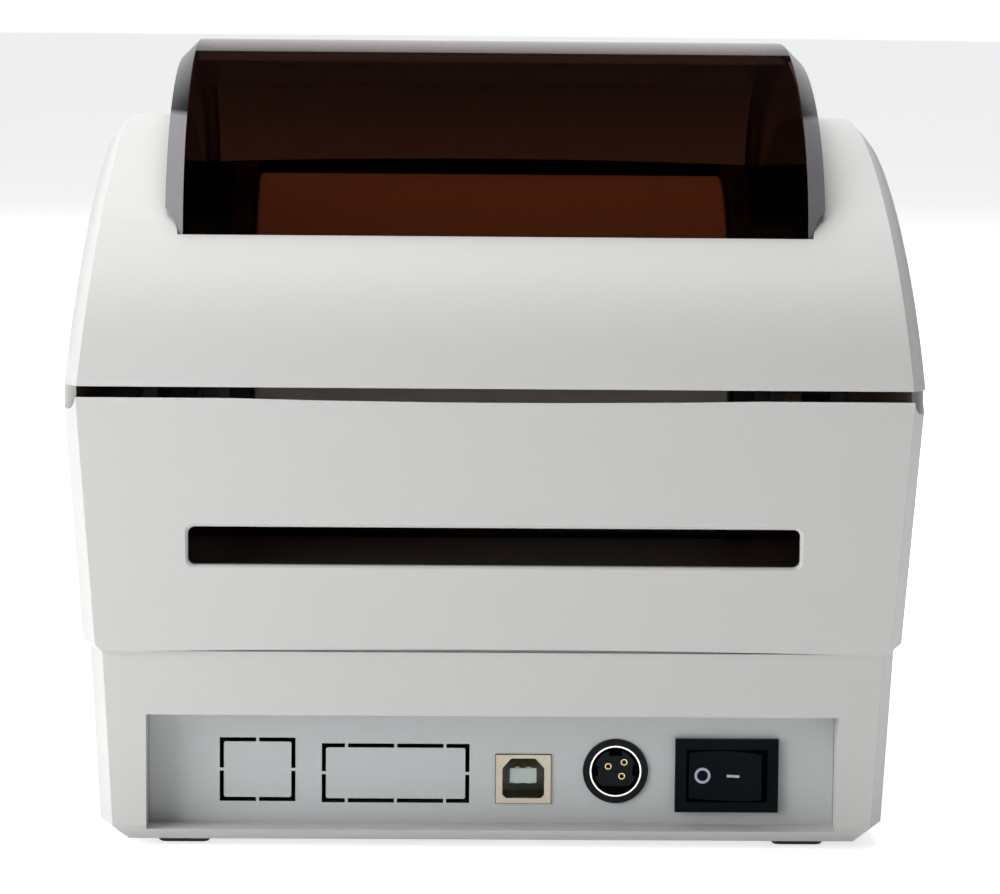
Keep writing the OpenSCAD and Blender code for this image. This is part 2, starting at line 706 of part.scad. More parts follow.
module rubber_feet() {
    color(part_black) for (x = [-foot_x, foot_x], y = foot_ys) translate([x, y, 0]) {
        cylinder(r1=foot_low_r, r2=foot_top_r, h=foot_h);
        translate([0, 0, foot_h - eps]) cylinder(r=foot_top_r, h=foot_seat + eps);
    }
}

// ---- gears ----
function inv(a) = tan(a)*180/PI - a;
function tooth_half(r, teeth) = let(rb = gear_m*teeth/2*cos(pressure))
    90/teeth - backlash/(gear_m*teeth/2)*180/PI + inv(pressure) - (r > rb ? inv(acos(rb/r)) : 0);
module gear_2d(teeth) {
    root = gear_m*(teeth/2 - 1.25);
    base = max(root + 0.05, gear_m*teeth/2*cos(pressure));
    tip = gear_m*(teeth/2 + 0.95);
    flank = concat([root], [for (k = [0:5]) base + (tip - base)*k/5]);
    polygon([for (i = [0:teeth - 1]) each concat(
        [for (k = [0:6]) let(a = i*360/teeth - tooth_half(flank[k], teeth)) flank[k]*[cos(a), sin(a)]],
        [for (k = [6:-1:0]) let(a = i*360/teeth + tooth_half(flank[k], teeth)) flank[k]*[cos(a), sin(a)]])]);
}
module gear_x(teeth, y, z, turn, bore) {
    translate([-gear_x - gear_w, y, z]) rotate([90, 0, 90]) difference() {
        linear_extrude(gear_w) rotate(turn) gear_2d(teeth);
        translate([0, 0, -over]) cylinder(r=bore, h=gear_w + 2*over);
    }
}
turn_i = dir_mi + 180 + 180/idler_teeth;
lead = (dir_ip - turn_i) - floor((dir_ip - turn_i)*idler_teeth/360)*360/idler_teeth;
turn_p = dir_ip + 180 + lead*idler_teeth/platen_teeth + 180/platen_teeth;
motor_shaft_r = 2.5;
post_r = 3;
spoke_ring = (post_r + pitch_i)/2;  // radius on which the idler's lightening holes lie
module motor_pinion() {
    color(steel) {
        gear_x(motor_teeth, motor_y, motor_zz, dir_mi, motor_shaft_r - run_gap);
        rod_x(-gear_x - gear_w, -frame_x + 8, motor_y, motor_zz, motor_shaft_r);
    }
}
module idler_gear() {
    color(gear_white) difference() {
        gear_x(idler_teeth, idler_y, idler_zz, turn_i, post_r + run_gap);
        for (i = [0:5]) rod_x(-gear_x - gear_w - over, -gear_x + over, idler_y + spoke_ring*cos(60*i),
            idler_zz + spoke_ring*sin(60*i), 3);
    }
}
module platen_gear() { color(gear_white) gear_x(platen_teeth, platen_y, platen_zz, turn_p, shaft_r); }
module platen_shaft() {
    color(steel) rod_x(-gear_x - gear_w - 1, frame_x + frame_t + 4, platen_y, platen_zz, shaft_r);
}
module platen_rubber() {
    color("#24272a") difference() {
        rod_x(-platen_l/2, platen_l/2, platen_y, platen_zz, platen_r);
        rod_x(-platen_l/2 - over, platen_l/2 + over, platen_y, platen_zz, shaft_r);
    }
}
bush_r = shaft_r + 2;
bush_rim = 1.5;
module platen_bushes() {
    color(gear_white) for (s = [-1, 1]) difference() {
        mirror([s > 0 ? 0 : 1, 0, 0]) {
            rod_x(frame_x, frame_x + frame_t, platen_y, platen_zz, bush_r);
            rod_x(frame_x - bush_rim, frame_x, platen_y, platen_zz, bush_r + bush_rim);
        }
        rod_x(-frame_x - 2*frame_t, frame_x + 2*frame_t, platen_y, platen_zz, shaft_r + run_gap);
    }
}
frame_back = motor_y + motor_side/2 + 6.5;
module frame_outline() {
    polygon([[platen_y - 7, zh(floor_t)], [frame_back, zh(floor_t)], [frame_back, motor_zz - 10],
        [frame_back - 2, zh(deck_z) - 14], [platen_y + 9, zh(deck_z) - 3], [platen_y + bush_r + 2, platen_zz + 6],
        [platen_y - bush_r - 2, platen_zz + 6]]);
}
pilot_r = 8;        // boss that centres the motor in its frame
pilot_h = 1.5;
module gear_frame() {
    color(steel) {
        difference() {
            along_x(-frame_x - frame_t, -frame_x) frame_outline();
            rod_x(-frame_x - frame_t - over, -frame_x + over, platen_y, platen_zz, bush_r);
            rod_x(-frame_x - frame_t - over, -frame_x + over, motor_y, motor_zz, pilot_r + seat_gap);
        }
        rod_x(-gear_x - gear_w - 1, -frame_x - frame_t + eps, idler_y, idler_zz, post_r);
    }
}
module plain_frame() {
    color(steel) difference() {
        along_x(frame_x, frame_x + frame_t) frame_outline();
        rod_x(frame_x - over, frame_x + frame_t + over, platen_y, platen_zz, bush_r);
    }
}
bell_l = 8;         // end bells of the motor, its laminated stack between them
module motor_square(side, corner) {
    translate([motor_y, motor_zz]) intersection() {
        square(side, center=true);
        rotate(45) square((side - corner)*sqrt(2), center=true);
    }
}
module motor_body() {
    color("#5a5d60") difference() {
        union() {
            along_x(-frame_x, -frame_x + bell_l) motor_square(motor_side, 3);
            along_x(-frame_x + bell_l - eps, -frame_x + motor_l - bell_l + eps) motor_square(motor_side - 1, 5);
            along_x(-frame_x + motor_l - bell_l, -frame_x + motor_l) motor_square(motor_side, 3);
            rod_x(-frame_x - pilot_h, -frame_x + eps, motor_y, motor_zz, pilot_r);
        }
        rod_x(-frame_x - pilot_h - over, -frame_x + 10, motor_y, motor_zz, motor_shaft_r + run_gap);
    }
}

// ---- media path ----
slot_floor = slot_z - slot_h/2 - 1;
module well_void_2d() {
    translate([roll_y, zh(roll_z)]) circle(r=well_r);
    translate([roll_y, zh(slot_floor)]) square([yd(well_back) - well_t - roll_y, roll_z]);
}
module well_full_2d() {
    translate([roll_y, zh(roll_z)]) circle(r=well_r + well_t);
    translate([roll_y, zh(slot_floor) - well_t]) square([yd(well_back) - roll_y, roll_z]);
}
module below_rim() { translate([-depth, 0]) square([2*depth, zh(well_rim)]); }
module rack_slot(s) {
    y = rack_y - s*rack_off;
    out = roll_half + guide_t + 1;
    in = roll_half - guide_travel - 1;
    block(s > 0 ? -out : in, s > 0 ? -in : out, y - rack_bar/2 - move_gap, y + rack_bar/2 + move_gap,
        zh(deck_z) - 6, zh(deck_z) + over);
}
leg_x = 60;
leg_y = roll_y - 34;
leg_r = 3.5;
front_open_y = roll_y - well_r*0.6;
deck_y0 = platen_y + platen_r + 1.5;
deck_y1 = roll_y - well_r + 4;
sensor_z = zh(deck_z) - 9;
sensor_reach = 26;
module media_well() {
    color(part_black) difference() {
        union() {
            along_x(-well_hw, well_hw) difference() {
                intersection() { well_full_2d(); below_rim(); }
                well_void_2d();
            }
            for (s = [-1, 1]) along_x(s > 0 ? well_hw - well_t : -well_hw, s > 0 ? well_hw : -well_hw + well_t)
                intersection() { well_full_2d(); below_rim(); }
            block(-frame_x + seat_gap, frame_x - seat_gap, deck_y0, deck_y1, zh(deck_z) - well_t, zh(deck_z));
            // posts that carry the well on the base's floor
            for (x = [-leg_x, leg_x]) translate([x, leg_y, zh(floor_t)])
                cylinder(r=leg_r, h=roll_z - floor_t - sqrt(pow(well_r + well_t/2, 2) - pow(roll_y - leg_y, 2)));
            // post of the guide pinion, and ribs that stiffen the deck
            translate([0, rack_y, rack_zz - 1]) cylinder(r=post_r, h=zh(deck_z) - rack_zz);
            for (x = [-frame_x + 6, frame_x - 8]) block(x, x + 2, deck_y0, deck_y1, zh(deck_z) - 5, zh(deck_z) - 1);
        }
        rack_slot(1);
        rack_slot(-1);
        slot_prism(1, yd(well_back) - well_t - over, yd(well_back) + over);
        // the well is open to the front above the deck
        along_x(-well_hw - over, well_hw + over)
            translate([-depth, zh(deck_z)]) square([depth + front_open_y, depth]);
        block(-sensor_reach, sensor_reach, sensor_y - sensor_half - move_gap, sensor_y + sensor_half + move_gap,
            zh(deck_z) - 6, zh(deck_z) + over);
    }
}
rail_r = 2;
module sensor_rail() { color(steel) rod_x(-frame_x, frame_x, sensor_y, sensor_z, rail_r); }
module gap_sensor() {
    color(part_black) difference() {
        block(-6, 6, sensor_y - sensor_half, sensor_y + sensor_half, sensor_z - 4, zh(deck_z) - 0.2);
        rod_x(-10, 10, sensor_y, sensor_z, rail_r + run_gap);
        // groove over the sensor's eye
        block(-2, 2, sensor_y - sensor_half - over, sensor_y + sensor_half + over, zh(deck_z) - 1, zh(deck_z));
    }
}
// One rack tooth row along X, its pitch line at y = 0 and its teeth toward +Y
module rack_2d(x0, x1) {
    half = PI*gear_m/4 - backlash;
    lean = tan(pressure)*gear_m;
    translate([x0, -rack_bar - 1.2*gear_m]) square([x1 - x0, rack_bar]);
    intersection() {
        translate([x0, -2*gear_m]) square([x1 - x0, 4*gear_m]);
        for (i = [-24:24]) translate([i*PI*gear_m, 0]) polygon([
            [-half - 1.2*lean, -1.21*gear_m], [half + 1.2*lean, -1.21*gear_m],
            [half - 0.9*lean, 0.9*gear_m], [-half + 0.9*lean, 0.9*gear_m]]);
    }
}
hub_r = 12;
hub_l = 8;
hub_wall = 2;
guide_rib = 1.5;    // rim and spokes on a guide's outer face
// A guide's plate, foot, rack and hub; s = 1 is the guide at -X
module guide(s) {
    foot_y = rack_y - s*rack_off;
    out = roll_half + guide_t;
    color(part_black) mirror([s > 0 ? 0 : 1, 0, 0]) {
        along_x(-out, -roll_half) {
            translate([roll_y, zh(roll_z)]) circle(r=guide_r);
            polygon([[foot_y - rack_bar/2, zh(deck_z) + 0.5], [foot_y + 14, zh(deck_z) + 0.5],
                [roll_y - guide_r*0.8, zh(roll_z) + guide_r*0.5], [foot_y - rack_bar/2, zh(deck_z) + 8]]);
        }
        along_x(-out - guide_rib, -out + eps) translate([roll_y, zh(roll_z)]) {
            difference() { circle(r=guide_r); circle(r=guide_r - 2*guide_rib); }
            for (a = [90, 210, 330]) rotate(a) translate([0, -guide_rib/2]) square([guide_r - guide_rib, guide_rib]);
        }
        difference() {
            rod_x(-roll_half - eps, -roll_half + hub_l, roll_y, zh(roll_z), hub_r);
            rod_x(-roll_half, -roll_half + hub_l + over, roll_y, zh(roll_z), hub_r - hub_wall);
        }
        block(-out, -roll_half, foot_y - rack_bar/2, foot_y + rack_bar/2, rack_zz, zh(deck_z) + 1);
    }
    color(part_black) translate([0, rack_y, rack_zz]) linear_extrude(rack_h)
        rotate(s > 0 ? 0 : 180) translate([0, -pitch_g]) rack_2d(-out, 8);
}
module guide_left() { guide(1); }
module guide_right() { guide(-1); }
module guide_pinion() {
    color(gear_white) translate([0, rack_y, rack_zz]) difference() {
        linear_extrude(rack_h) rotate(90 + 180/guide_teeth) gear_2d(guide_teeth);
        translate([0, 0, -over]) cylinder(r=post_r + run_gap, h=rack_h + 2*over);
    }
}
bezel_top = platen_z + 4;
bezel_back = -depth/2 + 6.5;
module front_bezel() {
    color(part_black) difference() {
        union() {
            block(-exit_hw + seat_gap, exit_hw - seat_gap, -depth/2 + 0.2, bezel_back, zh(exit_low), zh(bezel_top));
            block(-frame_x + seat_gap, frame_x - seat_gap, -depth/2 + wall + mid_in, bezel_back,
                zh(exit_low - 8), zh(exit_low + 1));
        }
        rod_x(-frame_x, frame_x, platen_y, platen_zz, platen_r + 1);
    }
}
tooth_pitch = 2;
tear_t = 0.8;
module tear_bar() {
    teeth = floor(platen_l/tooth_pitch/2);
    color(steel) {
        block(-platen_l/2, platen_l/2, -depth/2 + 1, -depth/2 + 5, zh(bezel_top), zh(bezel_top) + tear_t);
        translate([0, 0, zh(bezel_top)]) linear_extrude(tear_t) for (i = [-teeth:teeth - 1])
            polygon([[i*tooth_pitch, -depth/2 + 1 + eps], [(i + 0.5)*tooth_pitch, -depth/2 + 0.1],
                [(i + 1)*tooth_pitch, -depth/2 + 1 + eps]]);
    }
}

// ---- hinge ----
hinge_d = 6.5;
hinge_z = lid_low + 2.7;
hinge_w = 16;
hinge_sweep = 8.2;  // room for the lid's rear rim as it turns
hinge_pin_r = 2;
ear_r = 3.8;
ear_t = 3;
arm_d = 14;         // the arms pass forward of the sweep of the lid's rim
arm_t = 2.8;
arm_low = well_rim - 12;
knuckle_w = hinge_w - 2*ear_t - 2*move_gap;
module hinge_brackets() {
    color(part_black) for (s = [-1, 1]) difference() {
        union() {
            for (x = [s*hinge_x - hinge_w/2, s*hinge_x + hinge_w/2 - ear_t]) along_x(x, x + ear_t) {
                translate([yd(hinge_d), zh(hinge_z)]) circle(r=ear_r);
                translate([yd(arm_d + arm_t), zh(hinge_z - ear_r + 0.4)])
                    square([arm_d + arm_t - hinge_d, ear_r + 1.5]);
                translate([yd(arm_d + arm_t), zh(arm_low)]) square([arm_t, hinge_z - arm_low]);
            }
            // foot on the well's rear wall, across both ears
            block(s*hinge_x - hinge_w/2, s*hinge_x + hinge_w/2, yd(arm_d + arm_t), yd(well_back + well_t),
                zh(arm_low), zh(arm_low + 9));
        }
        rod_x(-body_hw, body_hw, yd(hinge_d), zh(hinge_z), hinge_pin_r);
    }
}
module hinge_pins() {
    color(steel) for (s = [-1, 1])
        rod_x(s*hinge_x - hinge_w/2, s*hinge_x + hinge_w/2, yd(hinge_d), zh(hinge_z), hinge_pin_r);
}

// ---- lid's inside ----
head_pivot_d = platen_d - 18;
pivot_r = 2;
ear_x = platen_l/2 + 8;     // middle of the lid's ears that hold the head's pivot rod
ear_w = 4;
beam_half = 6;
beam_t = 4;
spring_x = 35;
spring_in = 9;              // from the pivot forward to the springs
spring_pad = 5;
module lid_frame() {
    color(part_black) difference() {
        union() {
            intersection() {
                lid_body(wall + seat_gap, lid_low);
                union() {
                    block(-lid_hw, lid_hw, yd(head_pivot_d + beam_half), yd(head_pivot_d - beam_half),
                        zh(beam_z), zh(beam_z + beam_t));
                    for (s = [-1, 1]) {
                        block(s*ear_x - ear_w/2, s*ear_x + ear_w/2, yd(head_pivot_d + 5), yd(head_pivot_d - 5),
                            zh(head_pivot_z - 4), zh(beam_z + 1));
                        // pads over the head's springs
                        block(s*spring_x - spring_pad, s*spring_x + spring_pad,
                            yd(head_pivot_d + spring_in + spring_pad), yd(head_pivot_d + beam_half - 1),
                            zh(beam_z), zh(beam_z + beam_t));
                        // knuckles' roots on the lid's rear wall
                        block(s*hinge_x - knuckle_w/2, s*hinge_x + knuckle_w/2, yd(hinge_d + ear_r), depth/2,
                            zh(hinge_z), zh(hinge_z + 14));
                    }
                    // rib along the beam
                    block(-lid_hw, lid_hw, yd(head_pivot_d + 1), yd(head_pivot_d - 1), zh(beam_z), zh(beam_z + 8));
                }
            }
            for (s = [-1, 1])
                rod_x(s*hinge_x - knuckle_w/2, s*hinge_x + knuckle_w/2, yd(hinge_d), zh(hinge_z), ear_r);
        }
        rod_x(-lid_hw, lid_hw, yd(hinge_d), zh(hinge_z), hinge_pin_r + run_gap);
        rod_x(-lid_hw, lid_hw, yd(head_pivot_d), zh(head_pivot_z), pivot_r);
    }
}
module head_pivot_rod() {
    color(steel) rod_x(-ear_x - ear_w/2 - 1, ear_x + ear_w/2 + 1, yd(head_pivot_d), zh(head_pivot_z), pivot_r);
}
head_hw = platen_l/2 + 1;
head_t = 1.2;
sink_top = head_z + 7;
bracket_t = 1.5;
bracket_hw = head_hw + 3;
module head_bracket() {
    color(steel) difference() {
        union() {
            block(-bracket_hw, bracket_hw, platen_y - 7, yd(head_pivot_d) + 4, zh(sink_top), zh(sink_top + bracket_t));
            for (x = [-bracket_hw, bracket_hw - bracket_t]) along_x(x, x + bracket_t)
                translate([yd(head_pivot_d) - 4, zh(sink_top)]) square([8, head_pivot_z + 4 - sink_top]);
        }
        rod_x(-bracket_hw - over, bracket_hw + over, yd(head_pivot_d), zh(head_pivot_z), pivot_r + run_gap);
        // windows that let the heat out
        for (x = [-2:2]) block(x*20 - 6, x*20 + 6, platen_y - 3, platen_y + 3, zh(sink_top) - over,
            zh(sink_top + bracket_t) + over);
    }
}
fin_deep = 3;
module heatsink() {
    color("#9a9da0") difference() {
        block(-head_hw, head_hw, platen_y - 7, platen_y + 9, zh(head_z + head_t), zh(sink_top));
        // grooves in its front and rear faces
        for (i = [0:1], y = [platen_y - 7 - over, platen_y + 9 - fin_deep]) block(-head_hw - over, head_hw + over,
            y, y + fin_deep + over, zh(head_z + head_t + 1 + 2*i), zh(head_z + head_t + 2 + 2*i));
    }
}
module print_head() {
    color("#d8d2c4") block(-head_hw, head_hw, platen_y - 6, platen_y + 6, zh(head_z), zh(head_z + head_t));
}
// A round wire swept along a list of points
function unit(v) = v/norm(v);
function ring(p, t, r, n) = let(a = unit(cross(abs(t[2]) > 0.9 ? [1, 0, 0] : [0, 0, 1], t)), b = cross(t, a))
    [for (i = [0:n - 1]) p + r*(cos(360*i/n)*a + sin(360*i/n)*b)];
module sweep(path, r, n) {
    m = len(path);
    pts = [for (i = [0:m - 1]) each ring(path[i], unit(path[min(i + 1, m - 1)] - path[max(i - 1, 0)]), r, n)];
    polyhedron(pts, concat([[for (i = [0:n - 1]) i]],
        [for (k = [0:m - 2], i = [0:n - 1]) [k*n + (i + 1)%n, k*n + i, (k + 1)*n + i, (k + 1)*n + (i + 1)%n]],
        [[for (i = [n - 1:-1:0]) (m - 1)*n + i]]));
}
wire_r = 0.5;
spring_r = 3;
spring_low = zh(sink_top + bracket_t) + wire_r;
spring_high = zh(beam_z) - wire_r;
module head_springs() {
    color(steel) for (x = [-spring_x, spring_x]) sweep([for (i = [0:72]) let(a = i*360/12)
        [x + spring_r*cos(a), yd(head_pivot_d + spring_in) + spring_r*sin(a),
            spring_low + (spring_high - spring_low)*i/72]], wire_r, 6);
}

// ---- latches ----
latch_y = platen_y + 24;
latch_w = 16;
latch_z0 = zh(lid_low + 5);
latch_z1 = zh(lid_low + 17);
latch_out = 0.4;    // how far a button stands out of the lid
latch_deep = 9;
latch_t = 6;
hook_low = zh(mid_top - 8);
module latch(s) {
    face = lid_hw + latch_out;
    color("#8d9094") mirror([s > 0 ? 0 : 1, 0, 0]) {
        block(face - latch_t, face, latch_y - latch_w/2, latch_y + latch_w/2, latch_z0, latch_z1);
        block(face - latch_deep, face - latch_t + eps, latch_y - 4, latch_y + 4, hook_low, latch_z1);
    }
}
module latch_left() { latch(-1); }
module latch_right() { latch(1); }
module latch_catches() {
    color(steel) for (s = [-1, 1]) mirror([s > 0 ? 0 : 1, 0, 0])
        block(lid_hw + latch_out - latch_t + move_gap, body_hw - wall - 0.6, latch_y - 5, latch_y + 5,
            hook_low + 1, hook_low + 4);
}

// ---- leads held inside all the way ----
// Both start at the piece that they serve and end on the board
motor_start = [-frame_x + motor_l + 0.1, motor_y + 0.3, motor_zz - 11];
motor_route = [for (p = [[0, 0, 0], [3, 0, 0], [13, 4, -4], [17, 18, -12], [15, 42, -22], [13, 58, -29]]) motor_start + p];
header_end = [headers[2][0], yd(board_d0 + headers[2][1]) - header_w/2 - 0.1, board_top + 3];
power_start = [switch_x, yd(recess_d + switch_back) - 0.1, zh(switch_z)];
power_route = [for (p = [[0, 0, 0], [0, -3, 0], [0, -12, -3], [7, -23, -5.3], [14, -33, -3.5], [19, -36, -5]]) power_start + p];
module motor_lead() { color(wire_red) sweep(concat(motor_route, [header_end - [0, 3, 0], header_end]), 1.6, 8); }
module power_lead() { color(wire_red) sweep(power_route, 1.4, 8); }

base_tray();
mid_shell();
media_well();
io_panel();
usb_shell();
usb_insert();
dc_socket_body();
dc_socket_ring();
switch_housing();
rocker();
main_board();
board_chips();
board_capacitors();
board_headers();
rubber_feet();
housing_screws();
board_screws();
gear_frame();
plain_frame();
motor_body();
motor_pinion();
idler_gear();
platen_shaft();
platen_rubber();
platen_gear();
platen_bushes();
front_bezel();
tear_bar();
sensor_rail();
gap_sensor();
guide_left();
guide_right();
guide_pinion();
hinge_brackets();
hinge_pins();
lid_shell();
lid_window();
lid_frame();
head_pivot_rod();
head_bracket();
heatsink();
print_head();
head_springs();
latch_left();
latch_right();
latch_catches();
feed_button();
feed_board();
light_pipe();
motor_lead();
power_lead();
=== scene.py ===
"""Dresses the thermal label printer: finishes, soft edges, small parts and the studio."""

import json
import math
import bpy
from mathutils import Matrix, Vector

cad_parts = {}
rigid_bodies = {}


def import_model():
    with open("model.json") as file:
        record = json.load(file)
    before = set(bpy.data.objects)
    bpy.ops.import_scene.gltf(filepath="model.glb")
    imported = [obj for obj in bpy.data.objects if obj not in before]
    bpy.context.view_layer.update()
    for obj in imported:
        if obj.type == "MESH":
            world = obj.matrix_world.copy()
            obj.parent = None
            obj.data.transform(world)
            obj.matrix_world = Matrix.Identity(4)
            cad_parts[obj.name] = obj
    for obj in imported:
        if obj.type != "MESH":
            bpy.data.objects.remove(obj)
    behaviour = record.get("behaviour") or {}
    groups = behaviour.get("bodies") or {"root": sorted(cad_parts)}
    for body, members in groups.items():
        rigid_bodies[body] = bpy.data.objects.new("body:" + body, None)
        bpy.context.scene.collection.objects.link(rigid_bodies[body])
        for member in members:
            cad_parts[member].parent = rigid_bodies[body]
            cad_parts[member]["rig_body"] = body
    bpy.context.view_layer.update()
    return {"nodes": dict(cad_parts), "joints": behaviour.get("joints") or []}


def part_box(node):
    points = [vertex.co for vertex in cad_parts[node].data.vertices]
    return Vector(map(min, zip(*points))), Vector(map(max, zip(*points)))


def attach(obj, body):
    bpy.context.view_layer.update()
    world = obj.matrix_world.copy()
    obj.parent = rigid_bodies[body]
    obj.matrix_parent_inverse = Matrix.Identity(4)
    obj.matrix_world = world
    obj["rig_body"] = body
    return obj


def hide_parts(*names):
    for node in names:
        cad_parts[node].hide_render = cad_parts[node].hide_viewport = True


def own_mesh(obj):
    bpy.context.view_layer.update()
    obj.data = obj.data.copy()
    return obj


bl_info = {
    "name": "Thermal label printer",
    "version": (1, 0, 0),
    "blender": (4, 5, 0),
    "location": "View3D > Sidebar > Printer",
    "description": "Builds the looks of a thermal label printer round its fixed frame",
    "category": "Object",
}

import bmesh
import bpy
from mathutils import Matrix, Vector
from mathutils.bvhtree import BVHTree

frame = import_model()

MM = 0.001
WELD = 1e-6  # corners nearer than this are one corner
FLAT = math.radians(0.4)  # faces that meet within this angle are one flat face


# ---- shader expressions ----


class Signal:
    """A shader socket that Python's operators work on as a number."""

    def __init__(self, nodes, socket):
        self.nodes = nodes
        self.socket = socket

    def _math(self, operation, *values):
        sockets = dict(enumerate(values))
        return self.nodes.node("Math", {"operation": operation}, sockets)

    def __add__(self, other):
        return self._math("ADD", self, other)

    __radd__ = __add__

    def __sub__(self, other):
        return self._math("SUBTRACT", self, other)

    def __rsub__(self, other):
        return self._math("SUBTRACT", other, self)

    def __mul__(self, other):
        return self._math("MULTIPLY", self, other)

    __rmul__ = __mul__

    def __truediv__(self, other):
        return self._math("DIVIDE", self, other)

    def __pow__(self, other):
        return self._math("POWER", self, other)

    def __gt__(self, other):
        return self._math("GREATER_THAN", self, other)

    def __lt__(self, other):
        return self._math("LESS_THAN", self, other)

    def limited(self):
        """The number kept between 0 and 1."""
        return self._math("MINIMUM", self._math("MAXIMUM", self, 0.0), 1.0)

    def larger(self, other):
        return self._math("MAXIMUM", self, other)


class Nodes:
    """A node tree in the making."""

    def __init__(self, tree):
        self.tree = tree

    def node(self, kind, settings=None, sockets=None, result=0):
        """Adds a node: its settings first, then the values or links of its sockets."""
        made = self.tree.nodes.new("ShaderNode" + kind)
        for name, value in (settings or {}).items():
            setattr(made, name, value)
        for name, value in (sockets or {}).items():
            self.feed(made.inputs[name], value)
        return Signal(self, made.outputs[result])

    def feed(self, socket, value):
        if isinstance(value, Signal):
            self.tree.links.new(value.socket, socket)
        else:
            socket.default_value = value

    def seen(self):
        """1 where the camera, a mirror or a clear thing looks, and 0 where light is gathered."""
        seen = self.node("LightPath", result="Is Camera Ray")
        for ray in ("Is Glossy Ray", "Is Transmission Ray"):
            seen = seen.larger(self.node("LightPath", result=ray))
        return seen


class Finish(Nodes):
    """A material in the making: its nodes, and the Principled shader that they feed."""

    def __init__(self, name):
        self.material = bpy.data.materials.new(name)
        self.material.use_nodes = True
        super().__init__(self.material.node_tree)
        self.shader = self.tree.nodes["Principled BSDF"]

    def set(self, **sockets):
        """Sets the Principled shader's sockets, an underscore standing for a space."""
        for name, value in sockets.items():
            self.feed(self.shader.inputs[name.replace("_", " ")], value)
        return self

    def place(self, stretch=(1, 1, 1)):
        """Object coordinates, stretched along each axis."""
        coordinates = self.node("TexCoord", result=3)
        sockets = {"Vector": coordinates, "Scale": stretch}
        return self.node("Mapping", {"vector_type": "POINT"}, sockets)

    def noise(self, scale, detail=2.0, stretch=(1, 1, 1)):
        sockets = {"Vector": self.place(stretch), "Scale": scale, "Detail": detail}
        return self.node("TexNoise", {"noise_dimensions": "3D"}, sockets)

    def cells(self, scale):
        sockets = {"Vector": self.place(), "Scale": scale}
        return self.node("TexVoronoi", {"feature": "F1"}, sockets)

    def axis(self, index):
        """One of the Object coordinates, in metres."""
        coordinates = self.node("TexCoord", result=3)
        return self.node("SeparateXYZ", None, {0: coordinates}, result=index)

    def mix(self, factor, first, second):
        sockets = {0: factor, 6: colour4(first), 7: colour4(second)}
        return self.node("Mix", {"data_type": "RGBA"}, sockets, result=2)

    def relief(self, height, depth):
        """A Bump node on a height from 0 to 1 whose full step is depth metres."""
        sockets = {"Strength": 1.0, "Distance": depth, "Height": height}
        return self.node("Bump", None, sockets)


def colour4(value):
    return value if isinstance(value, Signal) else (*value[:3], 1)


def shade(colour, factor):
    return tuple(min(1.0, c * factor) for c in colour[:3])


# ---- finishes ----


def moulded(name, colour, roughness, grain, depth, spread=0.03, gleam=0.5):
    """Injection-moulded plastic with a spark-eroded grain, its size and depth in metres."""
    finish = Finish(name)
    broad = finish.noise(35, 3)
    fine = finish.noise(0.5 / grain, 3)
    pits = finish.cells(0.8 / grain)
    tone = broad * 0.6 + fine * 0.4
    finish.set(
        Base_Color=finish.mix(tone, shade(colour, 1 - spread), shade(colour, 1 + spread)),
        Roughness=(roughness - 0.06) + fine * 0.12,
        Normal=finish.relief(fine * 0.7 + pits * 0.3, depth),
        IOR=1.46,
        Specular_IOR_Level=gleam,
    )
    return finish.material


def shell_plastic():
    look = bpy.context.scene.printer_shell
    return moulded(
        "textured_abs",
        look.colour,
        look.roughness,
        look.grain,
        look.grain_depth,
        spread=0.014,
        gleam=0.35,
    )


def brushed(name, colour, roughness, direction, streak=0.12):
    """Rolled or brushed metal, its streaks along one axis."""
    finish = Finish(name)
    stretch = [900, 900, 900]
    stretch[direction] = 14
    streaks = finish.noise(1, 4, tuple(stretch))
    stains = finish.noise(120, 2)
    finish.set(
        Base_Color=finish.mix(stains, shade(colour, 0.93), shade(colour, 1.04)),
        Metallic=1.0,
        Roughness=(roughness - streak / 2) + streaks * streak,
        Normal=finish.relief(streaks, 4e-6),
    )
    return finish.material


def smoked_pane(name, tint, look):
    """Smoked acrylic: a face filters what is behind it, more so aslant, and mirrors by Fresnel."""
    finish = Finish(name)
    waves = finish.noise(18, 1)
    finish.set(
        Base_Color=(0.006, 0.004, 0.004, 1),
        Roughness=0.03 + waves * 0.02,
        IOR=look.gloss,
        Normal=finish.relief(waves, 6e-6),
    )
    outer = 1 - finish.node("NewGeometry", result="Backfacing")
    mirrored = finish.node("Fresnel", None, {"IOR": look.gloss}) * outer
    aslant = finish.node("LayerWeight", None, {"Blend": 0.5}, result="Facing")
    hidden = (mirrored + aslant * aslant * look.thickening).limited() * look.cover
    through = finish.node("BsdfTransparent", None, {"Color": (*tint, 1)})
    surface = Signal(finish, finish.shader.outputs[0])
    mixed = finish.node("MixShader", None, {0: hidden, 1: through, 2: surface})
    finish.feed(finish.tree.nodes["Material Output"].inputs["Surface"], mixed)
    return finish.material


def painted_reflection_edge(name, reflection_colour, high_colour, split_z):
    """The pane's bevelled flanks, a painted reflection: pale low down and dark above a height."""
    finish = Finish(name)
    blend = 1.2 * MM
    height = (finish.axis(2) - split_z) / blend + 0.5
    grain = finish.noise(60, 2, (1, 1, 0.2))
    finish.set(
        # painted reflection: the flanks are pale below the split height and dark above it
        Base_Color=finish.mix(height.limited(), reflection_colour, high_colour),
        Roughness=0.2 + grain * 0.1,
        Specular_IOR_Level=0.12,
    )
    return finish.material


